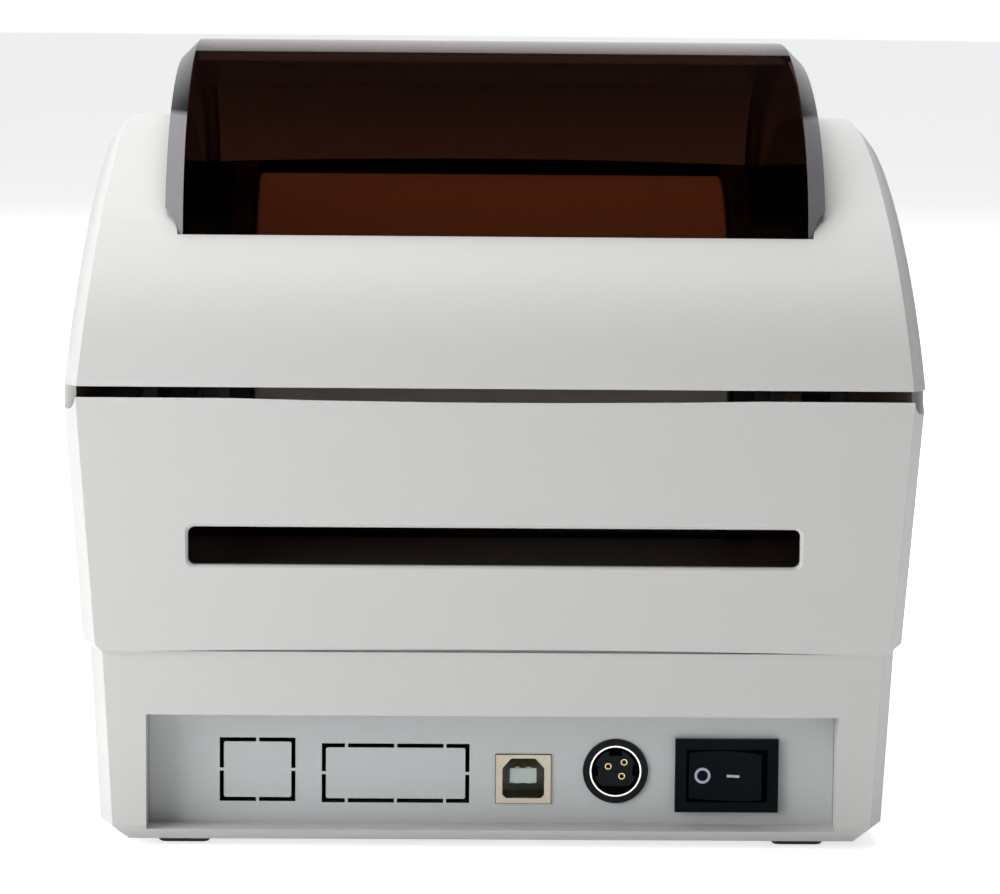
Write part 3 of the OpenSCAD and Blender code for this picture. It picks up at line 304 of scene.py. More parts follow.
def solder_mask():
    """A green circuit board: lacquered copper tracks and a darker ground."""
    finish = Finish("solder_mask")
    tracks = finish.node(
        "TexBrick",
        {"offset": 0.37, "squash": 1.0},
        {
            "Vector": finish.place((420, 300, 1)),
            "Color1": (1, 1, 1, 1),
            "Color2": (1, 1, 1, 1),
            "Mortar": (0, 0, 0, 1),
            "Scale": 1.0,
            "Mortar Size": 0.09,
        },
        result=1,
    )
    speckle = finish.noise(900, 2)
    finish.set(
        Base_Color=finish.mix(tracks, (0.010, 0.10, 0.035), (0.03, 0.22, 0.07)),
        Roughness=0.25 + speckle * 0.15,
        Coat_Weight=0.3,
        Normal=finish.relief(tracks, 3e-5),
    )
    return finish.material


def soft_rubber(name, colour):
    finish = Finish(name)
    dust = finish.noise(700, 3)
    skin = finish.noise(90, 2)
    finish.set(
        Base_Color=finish.mix(skin * 0.7 + dust * 0.3, shade(colour, 0.8), shade(colour, 1.5)),
        Roughness=0.62 + dust * 0.2,
        Normal=finish.relief(dust, 3e-5),
        IOR=1.4,
    )
    return finish.material


def glazed():
    """The print head's ceramic, with the dark heater line under its glaze."""
    finish = Finish("glazed_ceramic")
    inset, width = 4 * MM, 1.2 * MM
    line = finish.axis(1) - (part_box("print_head")[0].y + inset)
    heater = (line > 0.0) * (line < width)
    marbling = finish.noise(300, 3)
    pale = finish.mix(marbling, (0.58, 0.55, 0.46), (0.68, 0.65, 0.56))
    finish.set(
        Base_Color=finish.mix(heater, pale, (0.05, 0.03, 0.02)),
        Roughness=0.15 + marbling * 0.1,
    )
    return finish.material


def clear_plastic():
    finish = Finish("light_guide")
    haze = finish.noise(500, 2)
    finish.set(
        Base_Color=finish.mix(haze, (0.55, 0.72, 0.58), (0.66, 0.80, 0.68)),
        Roughness=0.2 + haze * 0.1,
        Transmission_Weight=0.4,
        IOR=1.49,
    )
    return finish.material


def insulation():
    finish = Finish("lead_insulation")
    wires = finish.noise(1, 1, (700, 60, 60))
    finish.set(
        Base_Color=finish.mix(wires > 0.5, (0.30, 0.03, 0.02), (0.02, 0.02, 0.02)),
        Roughness=0.4 + wires * 0.1,
        Normal=finish.relief(wires, 2e-4),
    )
    return finish.material


def label_paper():
    """Coated label stock on its liner, seen on the wound roll."""
    finish = Finish("label_paper")
    fibres = finish.noise(900, 3)
    cloud = finish.noise(40, 2)
    finish.set(
        Base_Color=finish.mix(cloud, (0.66, 0.64, 0.60), (0.76, 0.75, 0.72)),
        Roughness=0.45 + fibres * 0.15,
        Normal=finish.relief(fibres, 1.5e-5),
    )
    return finish.material


def wound_edge():
    """The end of a wound roll, ringed by its turns of liner."""
    finish = Finish("wound_edge")
    low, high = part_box("guide_left")
    y = finish.axis(1) - (low.y + high.y) / 2
    z = finish.axis(2) - (high.z - bpy.context.scene.printer_media.guide_radius)
    radius = (y * y + z * z) ** 0.5
    liner = 0.9 * MM
    turns = finish.node("Math", {"operation": "SINE"}, {0: radius * (2 * math.pi / liner)})
    fibres = finish.noise(1500, 2)
    rings = (turns * 0.5 + 0.5) * 0.8 + fibres * 0.2
    finish.set(
        Base_Color=finish.mix(rings, (0.42, 0.34, 0.22), (0.70, 0.66, 0.56)),
        Roughness=0.6 + fibres * 0.15,
        Normal=finish.relief(rings, 4e-5),
    )
    return finish.material


def printed_mark(name, colour):
    """Pad-printed ink, a little uneven."""
    finish = Finish(name)
    ink = finish.noise(1800, 2)
    finish.set(
        Base_Color=finish.mix(ink, shade(colour, 0.9), colour),
        Roughness=0.45 + ink * 0.1,
        Normal=finish.relief(ink, 1e-5),
    )
    return finish.material


def gold_plate():
    finish = Finish("gold_contacts")
    rubbed = finish.noise(1200, 2)
    finish.set(
        Base_Color=finish.mix(rubbed, (0.62, 0.44, 0.18), (0.80, 0.60, 0.28)),
        Metallic=1.0,
        Roughness=0.22 + rubbed * 0.15,
    )
    return finish.material


# ---- meshes ----


def finished(shape, name, body, material, replaced=(), crease=35):
    """Makes a bmesh a piece that rides on a body, shaded smooth below the crease angle."""
    mesh = bpy.data.meshes.new(name)
    for face in shape.faces:
        face.smooth = True
    shape.to_mesh(mesh)
    shape.free()
    mesh.set_sharp_from_angle(angle=math.radians(crease))
    piece = bpy.data.objects.new(name, mesh)
    bpy.context.scene.collection.objects.link(piece)
    for one in material if isinstance(material, list) else [material]:
        mesh.materials.append(one)
    weighted = piece.modifiers.new("even_shading", "WEIGHTED_NORMAL")
    weighted.keep_sharp = True
    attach(piece, body)
    if replaced:
        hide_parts(*replaced)
    return piece


def copied(node):
    """A bmesh of a CAD node with its corners merged and its flat faces whole."""
    mesh = frame["nodes"][node].data.copy()
    if "custom_normal" in mesh.attributes:
        mesh.attributes.remove(mesh.attributes["custom_normal"])
    shape = bmesh.new()
    shape.from_mesh(mesh)
    bpy.data.meshes.remove(mesh)
    bmesh.ops.remove_doubles(shape, verts=shape.verts, dist=WELD)
    bmesh.ops.dissolve_limit(
        shape,
        angle_limit=FLAT,
        use_dissolve_boundaries=False,
        verts=shape.verts,
        edges=shape.edges,
    )
    for face in shape.faces:
        face.material_index = 0
    return shape


def soften(shape, width, crease=40, segments=2, chosen=None):
    """Rounds the edges that turn by more than the crease angle, or the chosen ones of them."""
    limit = math.radians(crease)
    edges = []
    for edge in shape.edges:
        if len(edge.link_faces) == 2 and edge.calc_face_angle() > limit:
            if chosen is None or chosen((edge.verts[0].co + edge.verts[1].co) / 2, edge):
                edges.append(edge)
    if not edges:
        raise ValueError("no edge was found to soften")
    bmesh.ops.bevel(
        shape,
        geom=edges,
        offset=width,
        offset_type="OFFSET",
        affect="EDGES",
        segments=segments,
        profile=0.5,
        material=-1,
        clamp_overlap=True,
    )
    return shape


def turned(profile, centre, axis, steps=64):
    """A bmesh turned about an axis through centre, from (distance along it, radius) points."""
    shape = bmesh.new()
    axis = Vector(axis).normalized()
    across = axis.orthogonal().normalized()
    centre = Vector(centre)
    points = [shape.verts.new(centre + axis * far + across * radius) for far, radius in profile]
    edges = [shape.edges.new(pair) for pair in zip(points, points[1:])]
    bmesh.ops.spin(
        shape,
        geom=points + edges,
        cent=centre,
        axis=axis,
        angle=2 * math.pi,
        steps=steps,
        use_merge=True,
    )
    bmesh.ops.remove_doubles(shape, verts=shape.verts, dist=WELD)
    bmesh.ops.recalc_face_normals(shape, faces=shape.faces)
    return shape


def joined(*shapes):
    """One bmesh from several."""
    whole = bmesh.new()
    for shape in shapes:
        part = bpy.data.meshes.new("part")
        shape.to_mesh(part)
        shape.free()
        whole.from_mesh(part)
        bpy.data.meshes.remove(part)
    return whole


def met(node, start, along):
    """Where a line from start first meets a CAD node, and which way the face there points."""
    shape = bmesh.new()
    shape.from_mesh(frame["nodes"][node].data)
    point, normal, _, _ = BVHTree.FromBMesh(shape).ray_cast(Vector(start), Vector(along))
    shape.free()
    if point is None:
        raise ValueError("no face of " + node + " was met")
    return point, normal


def standing(point, normal, across):
    """A frame at a point: X along across, Z along the face's normal."""
    normal = Vector(normal).normalized()
    side = normal.cross(Vector(across)).normalized()
    turn = Matrix((side.cross(normal), side, normal)).transposed().to_4x4()
    return Matrix.Translation(point) @ turn


def near_faces(shape, node, reach):
    """Gives the second material to the faces that lie wholly within reach of a CAD node."""
    other = bmesh.new()
    other.from_mesh(frame["nodes"][node].data)
    tree = BVHTree.FromBMesh(other)
    other.free()
    near = {vert for vert in shape.verts if tree.find_nearest(vert.co, reach)[0] is not None}
    for face in shape.faces:
        if all(vert in near for vert in face.verts):
            face.material_index = 1


def material_for(node, material):
    """Gives a CAD node that stays its finish."""
    mesh = frame["nodes"][node].data
    mesh.materials.clear()
    mesh.materials.append(material)


def dressed(node, width, material, crease=40, segments=2, chosen=None):
    """Replaces a CAD node by a copy with softened edges."""
    body = frame["nodes"][node]["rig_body"]
    shape = soften(copied(node), width, crease, segments, chosen)
    return finished(shape, node + "_dressed", body, material, (node,))


# ---- settings ----


class PrinterShell(bpy.types.PropertyGroup):
    colour: bpy.props.FloatVectorProperty(
        name="Colour",
        description="Colour of the outer shells",
        default=(0.62, 0.62, 0.61),
        subtype="COLOR",
    )
    roughness: bpy.props.FloatProperty(
        name="Roughness",
        description="Roughness of the textured plastic",
        default=0.52,
        subtype="FACTOR",
    )
    grain: bpy.props.FloatProperty(
        name="Grain",
        description="Size of the texture's grain",
        default=0.45 * MM,
        unit="LENGTH",
    )
    grain_depth: bpy.props.FloatProperty(
        name="Grain depth",
        description="Depth of the texture",
        default=0.018 * MM,
        unit="LENGTH",
    )
    edge: bpy.props.FloatProperty(
        name="Edge",
        description="Rounding of the shells' edges",
        default=0.35 * MM,
        unit="LENGTH",
    )
    seam_reach: bpy.props.FloatProperty(
        name="Seam reach",
        description="How near the window the lid's faces are dark",
        default=0.6 * MM,
        unit="LENGTH",
    )
    rim: bpy.props.FloatProperty(
        name="Rim",
        description="Rounding of the middle shell's rear rim",
        default=1.1 * MM,
        unit="LENGTH",
    )


class PrinterWindow(bpy.types.PropertyGroup):
    tint: bpy.props.FloatVectorProperty(
        name="Tint",
        description="What one face of the pane lets through",
        default=(0.495, 0.335, 0.262),
        subtype="COLOR",
    )
    front_tint: bpy.props.FloatVectorProperty(
        name="Front tint",
        description="What one face of the pane's thicker front lets through",
        default=(0.30, 0.25, 0.235),
        subtype="COLOR",
    )
    gloss: bpy.props.FloatProperty(
        name="Gloss", description="Index of refraction that sets the mirroring", default=1.45
    )
    thickening: bpy.props.FloatProperty(
        name="Thickening",
        description="Light lost in each face when it is seen aslant",
        default=0.6,
        subtype="FACTOR",
    )
    cover: bpy.props.FloatProperty(
        name="Cover",
        description="Most that a face's own surface hides of what is behind it",
        default=0.62,
        subtype="FACTOR",
    )
    edge: bpy.props.FloatProperty(
        name="Edge", description="Rounding of the pane's edges", default=0.4 * MM, unit="LENGTH"
    )
    # the strip set here is a black sheet of painted shadow along the window's front edge
    shadow_strip_inset: bpy.props.FloatProperty(
        name="Gasket inset",
        description="From the pane's outside to the gasket",
        default=2.6 * MM,
        unit="LENGTH",
    )
    shadow_strip_width: bpy.props.FloatProperty(
        name="Gasket width", description="Width of the gasket", default=1.8 * MM, unit="LENGTH"
    )
    shadow_strip_height: bpy.props.FloatProperty(
        name="Gasket height",
        description="Height of the gasket at its middle",
        default=8.5 * MM,
        unit="LENGTH",
    )
    shadow_strip_lift: bpy.props.FloatProperty(
        name="Gasket lift",
        description="From the pane's lowest point to the gasket",
        default=1.5 * MM,
        unit="LENGTH",
    )
    front_start: bpy.props.FloatProperty(
        name="Front start",
        description="Where the pane's thicker front begins, ahead of this Y",
        default=0.01,
        unit="LENGTH",
    )
    shadow_strip_arch: bpy.props.FloatProperty(
        name="Gasket arch",
        description="How much lower the gasket is at its ends",
        default=1.2 * MM,
        unit="LENGTH",
    )
    # the flanks' painted reflection turns dark above this height
    reflection_top: bpy.props.FloatProperty(
        name="Flank split",
        description="Height at which the flanks turn dark",
        default=156.5 * MM,
        unit="LENGTH",
    )


class PrinterMedia(bpy.types.PropertyGroup):
    guide_radius: bpy.props.FloatProperty(
        name="Guide radius",
        description="Radius of a guide's disc",
        default=44 * MM,
        unit="LENGTH",
    )
    roll_radius: bpy.props.FloatProperty(
        name="Roll radius",
        description="Radius of the label roll",
        default=41.5 * MM,
        unit="LENGTH",
    )
    core_radius: bpy.props.FloatProperty(
        name="Core radius",
        description="Radius of the roll's core",
        default=12.7 * MM,
        unit="LENGTH",
    )
    roll_width: bpy.props.FloatProperty(
        name="Roll width",
        description="Width of the label roll",
        default=106 * MM,
        unit="LENGTH",
    )


class PrinterSockets(bpy.types.PropertyGroup):
    contact_pitch: bpy.props.FloatProperty(
        name="Contact pitch",
        description="Between the USB contacts",
        default=2.5 * MM,
        unit="LENGTH",
    )
    contact_width: bpy.props.FloatProperty(
        name="Contact width",
        description="Width of a USB contact",
        default=1.0 * MM,
        unit="LENGTH",
    )
    contact_length: bpy.props.FloatProperty(
        name="Contact length",
        description="Length of a USB contact",
        default=7 * MM,
        unit="LENGTH",
    )
    sleeve_radius: bpy.props.FloatProperty(
        name="Sleeve radius",
        description="Outer radius of a power contact",
        default=0.74 * MM,
        unit="LENGTH",
    )
    off_radius: bpy.props.FloatProperty(
        name="Off mark",
        description="Outer radius of the ring on the rocker",
        default=1.73 * MM,
        unit="LENGTH",
    )
    on_length: bpy.props.FloatProperty(
        name="On mark",
        description="Length of the dash on the rocker",
        default=2.8 * MM,
        unit="LENGTH",
    )
    off_aside: bpy.props.FloatProperty(
        name="Off mark aside",
        description="From the rocker's middle to the ring",
        default=5.1 * MM,
        unit="LENGTH",
    )
    on_aside: bpy.props.FloatProperty(
        name="On mark aside",
        description="From the rocker's middle to the dash, the other way",
        default=1.5 * MM,
        unit="LENGTH",
    )
    mark_stroke: bpy.props.FloatProperty(
        name="Mark stroke", description="Stroke of both marks", default=0.54 * MM, unit="LENGTH"
    )
    mark_colour: bpy.props.FloatVectorProperty(
        name="Mark colour",
        description="Ink of the marks",
        default=(0.46, 0.50, 0.60),
        subtype="COLOR",
    )


class PrinterFeet(bpy.types.PropertyGroup):
    top: bpy.props.FloatProperty(
        name="Top",
        description="Half the width of a foot at the base",
        default=6.5 * MM,
        unit="LENGTH",
    )
    low: bpy.props.FloatProperty(
        name="Bottom",
        description="Half the width of a foot at the ground",
        default=5.2 * MM,
        unit="LENGTH",
    )
    height: bpy.props.FloatProperty(
        name="Height",
        description="How far the feet stand below the base",
        default=1.8 * MM,
        unit="LENGTH",
    )
    corner: bpy.props.FloatProperty(
        name="Corner",
        description="Rounding of the feet's corners",
        default=1.2 * MM,
        unit="LENGTH",
    )
    plug: bpy.props.FloatProperty(
        name="Plug",
        description="Radius of the plug that sits in the base",
        default=6.4 * MM,
        unit="LENGTH",
    )


class PrinterStage(bpy.types.PropertyGroup):
    distance: bpy.props.FloatProperty(
        name="Distance",
        description="From the camera to the middle of the rear face",
        default=0.9487,
        unit="LENGTH",
    )
    elevation: bpy.props.FloatProperty(
        name="Elevation",
        description="Camera above the horizon",
        default=math.radians(7.07),
        subtype="ANGLE",
    )
    swing: bpy.props.FloatProperty(
        name="Swing",
        description="Camera off the rear face's axis",
        default=math.radians(1.09),
        subtype="ANGLE",
    )
    roll: bpy.props.FloatProperty(
        name="Roll",
        description="Camera turned about its view",
        default=math.radians(0.516),
        subtype="ANGLE",
    )
    target: bpy.props.FloatVectorProperty(
        name="Target",
        description="Point that the camera is placed round",
        default=(0, 0.111, 0.085),
        subtype="XYZ",
    )
    pixels_per_mm: bpy.props.FloatProperty(
        name="Scale", description="Pixels for each millimetre at the target", default=4.708
    )
    centre: bpy.props.FloatVectorProperty(
        name="Centre", description="Pixel of the target", default=(495.5, 460.7), size=2
    )
    ambient: bpy.props.FloatProperty(
        name="Ambient", description="Strength of the light from all round", default=0.11
    )
    backdrop: bpy.props.FloatProperty(
        name="Backdrop",
        description="What the floor adds for the camera and for mirrors",
        default=0.72,
    )


IMAGE = (1000, 894)  # pixels of the picture that the camera is set for
SENSOR = 36  # millimetres
FAR = 100  # metres that the camera sees
FLOOR_RADIUS = 6
CEILING = [(0.95, 2.2), (1.7, 1.6), (2.2, 0.0)]  # height and radius of the dark ceiling's rings
LIT_POINT = (0, 0, 0.08)  # what every lamp faces
LAMPS = (  # name, place, size in metres, power in watts
    ("key", (0.55, 0.45, 0.27), 0.5, 3.15),
    ("overhead", (0.10, -0.09, 1.15), 0.9, 15.0),
    ("front", (0.1, -1.3, 1.0), 1.0, 7.0),
)
SLEEVES = ((1.55, 0.84), (-1.9, 1.76), (-1.4, -1.3))  # power contacts off the axis, in millimetres


# ---- operators ----


class PRINTER_OT_stage(bpy.types.Operator):
    """Set up the camera, the floor, the studio light and the pale background"""

    bl_idname = "printer.stage"
    bl_label = "Stage"

    def execute(self, context):
        context.scene.view_settings.view_transform = "Standard"
        self.camera(context.scene)
        self.world(context.scene)
        self.floor(context.scene)
        self.canopy(context.scene)
        self.lamps(context.scene)
        return {"FINISHED"}

    def camera(self, scene):
        stage = scene.printer_stage
        back = Vector(
            (
                math.sin(stage.swing) * math.cos(stage.elevation),
                math.cos(stage.swing) * math.cos(stage.elevation),
                math.sin(stage.elevation),
            )
        )
        right = Vector((-math.cos(stage.swing), math.sin(stage.swing), 0))
        up = back.cross(right)
        target = Vector(stage.target)
        place = target + back * stage.distance
        scale = stage.pixels_per_mm / MM
        aside = (IMAGE[0] / 2 - stage.centre[0]) / scale
        above = (stage.centre[1] - IMAGE[1] / 2) / scale
        aim = target + right * aside + up * above
        back = (place - aim).normalized()
        right = up.cross(back).normalized()
        up = back.cross(right)
        across = right * math.cos(stage.roll) + up * math.sin(stage.roll)
        upright = up * math.cos(stage.roll) - right * math.sin(stage.roll)
        camera = bpy.data.objects.new("camera", bpy.data.cameras.new("camera"))
        scene.collection.objects.link(camera)
        turn = Matrix((across, upright, back)).transposed().to_4x4()
        camera.matrix_world = Matrix.Translation(place) @ turn
        camera.data.sensor_width = SENSOR
        camera.data.lens = scale * stage.distance * SENSOR / IMAGE[0]
        camera.data.clip_end = FAR
        scene.camera = camera

    def world(self, scene):
        """A white background that gives only the ambient light."""
        scene.world = bpy.data.worlds.new("studio")
        scene.world.use_nodes = True
        sky = Nodes(scene.world.node_tree)
        sky.tree.nodes.remove(sky.tree.nodes["Background"])
        white = (1, 1, 1, 1)
        strength = scene.printer_stage.ambient
        light = sky.node("Background", None, {"Color": white, "Strength": strength})
        pale = sky.node("Background", None, {"Color": white, "Strength": 1.0})
        mixed = sky.node("MixShader", None, {0: sky.seen(), 1: light, 2: pale})
        sky.feed(sky.tree.nodes["World Output"].inputs["Surface"], mixed)

    def floor(self, scene):
        shape = bmesh.new()
        bmesh.ops.create_circle(shape, cap_ends=True, segments=64, radius=FLOOR_RADIUS)
        finish = Finish("floor_sheet")
        finish.set(
            Base_Color=(0.92, 0.92, 0.92, 1),
            Roughness=0.9,
            Emission_Color=(1, 1, 1, 1),
            Emission_Strength=finish.seen() * scene.printer_stage.backdrop,
            Specular_IOR_Level=0.1,
        )
        self.scenery(scene, "floor", shape, finish.material)

    def canopy(self, scene):
        """A dark studio ceiling that only mirrors see."""
        shape = turned(CEILING, (0, 0, 0), (0, 0, 1), 48)
        finish = Finish("dark_ceiling")
        finish.set(Base_Color=(0.01, 0.01, 0.01, 1), Roughness=1.0, Specular_IOR_Level=0.0)
        ceiling = self.scenery(scene, "ceiling", shape, finish.material)
        for ray in ("camera", "diffuse", "transmission", "volume_scatter", "shadow"):
            setattr(ceiling, "visible_" + ray, False)

    def scenery(self, scene, name, shape, material):
        """Makes a bmesh a piece of the stage."""
        mesh = bpy.data.meshes.new(name)
        shape.to_mesh(mesh)
        shape.free()
        mesh.materials.append(material)
        piece = bpy.data.objects.new(name, mesh)
        scene.collection.objects.link(piece)
        return piece

    def lamps(self, scene):
        for name, place, size, power in LAMPS:
            data = bpy.data.lights.new(name, "AREA")
            data.size = size
            data.energy = power
            lamp = bpy.data.objects.new(name, data)
            scene.collection.objects.link(lamp)
            away = Vector(place) - Vector(LIT_POINT)
            turn = away.to_track_quat("Z", "Y").to_matrix().to_4x4()
            lamp.matrix_world = Matrix.Translation(place) @ turn
            lamp.visible_glossy = False


class PRINTER_OT_shells(bpy.types.Operator):
    """Give the base, the middle shell and the lid their textured plastic and rounded edges"""

    bl_idname = "printer.shells"
    bl_label = "Shells"

    def execute(self, context):
        look = context.scene.printer_shell
        plastic = shell_plastic()
        dressed("base_tray", look.edge, plastic)
        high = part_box("mid_shell")[1]

        def rear_rim(middle, edge):
            along = abs((edge.verts[0].co - edge.verts[1].co).normalized().x) > 0.9
            inside = abs(middle.x) < high.x - 3 * MM
            behind = middle.y > high.y - 0.5 * MM
            return along and inside and behind and middle.z > high.z - 3 * MM

        def clear_of_rim(middle, edge):
            return middle.z < high.z - 5 * MM or middle.y < high.y - 4 * MM

        shape = copied("mid_shell")
        soften(shape, look.rim, 30, 4, rear_rim)
        soften(shape, look.edge, chosen=clear_of_rim)
        finished(shape, "mid_shell_dressed", "chassis", plastic, ("mid_shell",))
        shape = soften(copied("lid_shell"), look.edge)
        near_faces(shape, "lid_window", look.seam_reach)
        seam = moulded(
            "seam_shadow",
            (0.010, 0.011, 0.012),
            roughness=0.6,
            grain=0.3 * MM,
            depth=0.004 * MM,
            spread=0.1,
            gleam=0.1,
        )
        finished(shape, "lid_shell_dressed", "lid", [plastic, seam], ("lid_shell",))
        return {"FINISHED"}


class PRINTER_OT_window(bpy.types.Operator):
    """Give the lid's window its smoked acrylic and its flanks a painted reflection"""

    bl_idname = "printer.window"
    bl_label = "Window"

    def execute(self, context):
        look = context.scene.printer_window
        low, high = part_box("lid_window")
        shape = copied("lid_window")
        shape.normal_update()
        for face in shape.faces:
            middle = face.calc_center_median()
            outward = face.normal.x * (1 if middle.x > 0 else -1)
            near_side = abs(middle.x) > high.x - 6 * MM
            if near_side and 0.5 < outward < 0.9:
                face.material_index = 1
            elif middle.y < look.front_start:
                face.material_index = 2
        soften(shape, look.edge, 30)
        pane = smoked_pane("smoked_acrylic", look.tint, look)
        front = smoked_pane("smoked_acrylic_front", look.front_tint, look)
        # the flanks' pale colour is a painted reflection of the bright surroundings, dark higher
        # up
        painted_reflection, dark = (0.23, 0.22, 0.24), (0.008, 0.008, 0.009)
        flank = painted_reflection_edge("flank_painted_reflection", painted_reflection, dark, look.reflection_top)
        materials = [pane, flank, front]
        finished(shape, "lid_window_dressed", "lid", materials, ("lid_window",))
        self.shadow_strip(look, low, high)
        return {"FINISHED"}

    def shadow_strip(self, look, low, high):
        """A black strip of painted shadow inside the pane's front edge, its top a little arched.
        """
        half = high.x - look.shadow_strip_inset
        foot = low.y + look.shadow_strip_inset
        bottom = low.z + look.shadow_strip_lift
        shape = bmesh.new()
        size = Vector((2 * half, look.shadow_strip_width, look.shadow_strip_height))
        place = Matrix.Translation((0, foot + size.y / 2, bottom + size.z / 2))
        bmesh.ops.create_cube(shape, size=1, matrix=place @ Matrix.Diagonal((*size, 1)))
        along = [e for e in shape.edges if abs(e.verts[0].co.x - e.verts[1].co.x) > half]
        bmesh.ops.subdivide_edges(shape, edges=along, cuts=23, use_grid_fill=True)
        for vert in shape.verts:
            if vert.co.z > bottom + size.z / 2:
                vert.co.z -= look.shadow_strip_arch * (vert.co.x / half) ** 2
        soften(shape, 0.3 * MM, 60)
        # painted shadow: a black strip that stands for the shadow line along the opening's front
        # edge
        rubber = soft_rubber("shadow_strip_black", (0.004, 0.004, 0.005))
        finished(shape, "window_shadow_strip", "lid", rubber)


class PRINTER_OT_panel(bpy.types.Operator):
    """Finish the connector panel"""

    bl_idname = "printer.panel"
    bl_label = "Connector panel"

    def execute(self, context):
        panel = moulded(
            "panel_plastic",
            (0.555, 0.575, 0.58),
            roughness=0.5,
            grain=0.4 * MM,
            depth=0.012 * MM,
            spread=0.01,
        )
        cut = moulded(
            "cut_shadow",
            (0.006, 0.007, 0.009),
            roughness=0.7,
            grain=0.3 * MM,
            depth=0.004 * MM,
            spread=0.1,
            gleam=0.05,
        )
        shape = soften(copied("io_panel"), 0.08 * MM)
        low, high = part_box("io_panel")
        for face in shape.faces:
            middle = face.calc_center_median()
            wall = middle.y < high.y - 0.1 * MM and abs(face.normal.y) < 0.3
            clear = low.x + 1 * MM < middle.x < high.x - 1 * MM and middle.z > low.z + 1 * MM
            if wall and clear:
                face.material_index = 1
        finished(shape, "io_panel_dressed", "chassis", [panel, cut], ("io_panel",))
        return {"FINISHED"}


class PRINTER_OT_usb(bpy.types.Operator):
    """Finish the USB socket and lay its contacts on the tongue"""

    bl_idname = "printer.usb"
    bl_label = "USB socket"

    def execute(self, context):
        sockets = context.scene.printer_sockets
        nickel = brushed("nickel_plate", (0.38, 0.34, 0.275), 0.40, 0)
        dressed("usb_shell", 0.15 * MM, nickel)
        tongue = moulded(
            "usb_tongue", (0.50, 0.57, 0.54), roughness=0.4, grain=0.3 * MM, depth=0.005 * MM
        )
        dressed("usb_insert", 0.2 * MM, tongue)
        low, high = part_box("usb_shell")
        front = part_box("usb_insert")[1].y
        middle = (low + high) / 2
        length = sockets.contact_length
        y = front - 0.6 * MM - length / 2
        proud = 0.08 * MM
        strips = []
        for side in (-1, 1):
            for up in (-1, 1):
                x = middle.x + side * sockets.contact_pitch / 2
                start = (x, front - 2 * MM, middle.z + up * 5 * MM)
                tongue_z = met("usb_insert", start, (0, 0, -up))[0].z
                place = Matrix.Translation((x, y, tongue_z + up * proud))
                size = Matrix.Diagonal((sockets.contact_width, length, 0.22 * MM, 1))
                strip = bmesh.new()
                bmesh.ops.create_cube(strip, size=1, matrix=place @ size)
                soften(strip, 0.05 * MM)
                strips.append(strip)
        finished(joined(*strips), "usb_contacts", "chassis", gold_plate())
        return {"FINISHED"}


class PRINTER_OT_power_socket(bpy.types.Operator):
    """Finish the round power socket and put the contact sleeves in its three holes"""

    bl_idname = "printer.power_socket"
    bl_label = "Power socket"

    def execute(self, context):
        sockets = context.scene.printer_sockets
        black = moulded(
            "socket_plastic",
            (0.007, 0.010, 0.013),
            roughness=0.42,
            grain=0.3 * MM,
            depth=0.006 * MM,
            spread=0.1,
            gleam=0.08,
        )
        dressed("dc_socket_body", 0.2 * MM, black)
        bright = brushed("bright_ring", (0.90, 0.84, 0.76), 0.28, 1)
        dressed("dc_socket_ring", 0.08 * MM, bright)
        low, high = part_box("dc_socket_ring")
        middle = (low + high) / 2
        sleeves = []
        outer = sockets.sleeve_radius
        inner = outer - 0.22 * MM
        deep = -5 * MM
        profile = [(0, inner), (0, outer), (deep, outer), (deep, inner), (0, inner)]
        for x, z in SLEEVES:
            centre = (middle.x + x * MM, high.y - 1.2 * MM, middle.z + z * MM)
            sleeves.append(turned(profile, centre, (0, 1, 0), 24))
        finished(joined(*sleeves), "power_contacts", "chassis", gold_plate())
        return {"FINISHED"}


class PRINTER_OT_switch(bpy.types.Operator):
    """Finish the rocker switch and print the on and off marks on the rocker"""

    bl_idname = "printer.switch"
    bl_label = "Rocker switch"

    def execute(self, context):
        sockets = context.scene.printer_sockets
        black = moulded(
            "switch_plastic",
            (0.003, 0.005, 0.007),
            roughness=0.4,
            grain=0.3 * MM,
            depth=0.005 * MM,
            spread=0.1,
            gleam=0.04,
        )
        dressed("switch_housing", 0.3 * MM, black)
        dressed("rocker", 0.5 * MM, black, 25, 3)
        low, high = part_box("rocker")
        middle = (low + high) / 2
        ink = printed_mark("switch_marks", sockets.mark_colour)
        outer = sockets.off_radius
        inner = outer - sockets.mark_stroke
        step = 0.05 * MM
        inwards = (0, -1, 0)
        point, normal = met("rocker", (middle.x + sockets.off_aside, 1, middle.z), inwards)
        profile = [(-step, inner), (step, inner), (step, outer), (-step, outer), (-step, inner)]
        ring = turned(profile, point, normal, 48)
        finished(ring, "switch_off_mark", "rocker_body", ink)
        point, normal = met("rocker", (middle.x - sockets.on_aside, 1, middle.z), inwards)
        place = standing(point, normal, (1, 0, 0))
        size = Matrix.Diagonal((sockets.on_length, sockets.mark_stroke, 2 * step, 1))
        dash = bmesh.new()
        bmesh.ops.create_cube(dash, size=1, matrix=place @ size)
        finished(dash, "switch_on_mark", "rocker_body", ink)
        return {"FINISHED"}


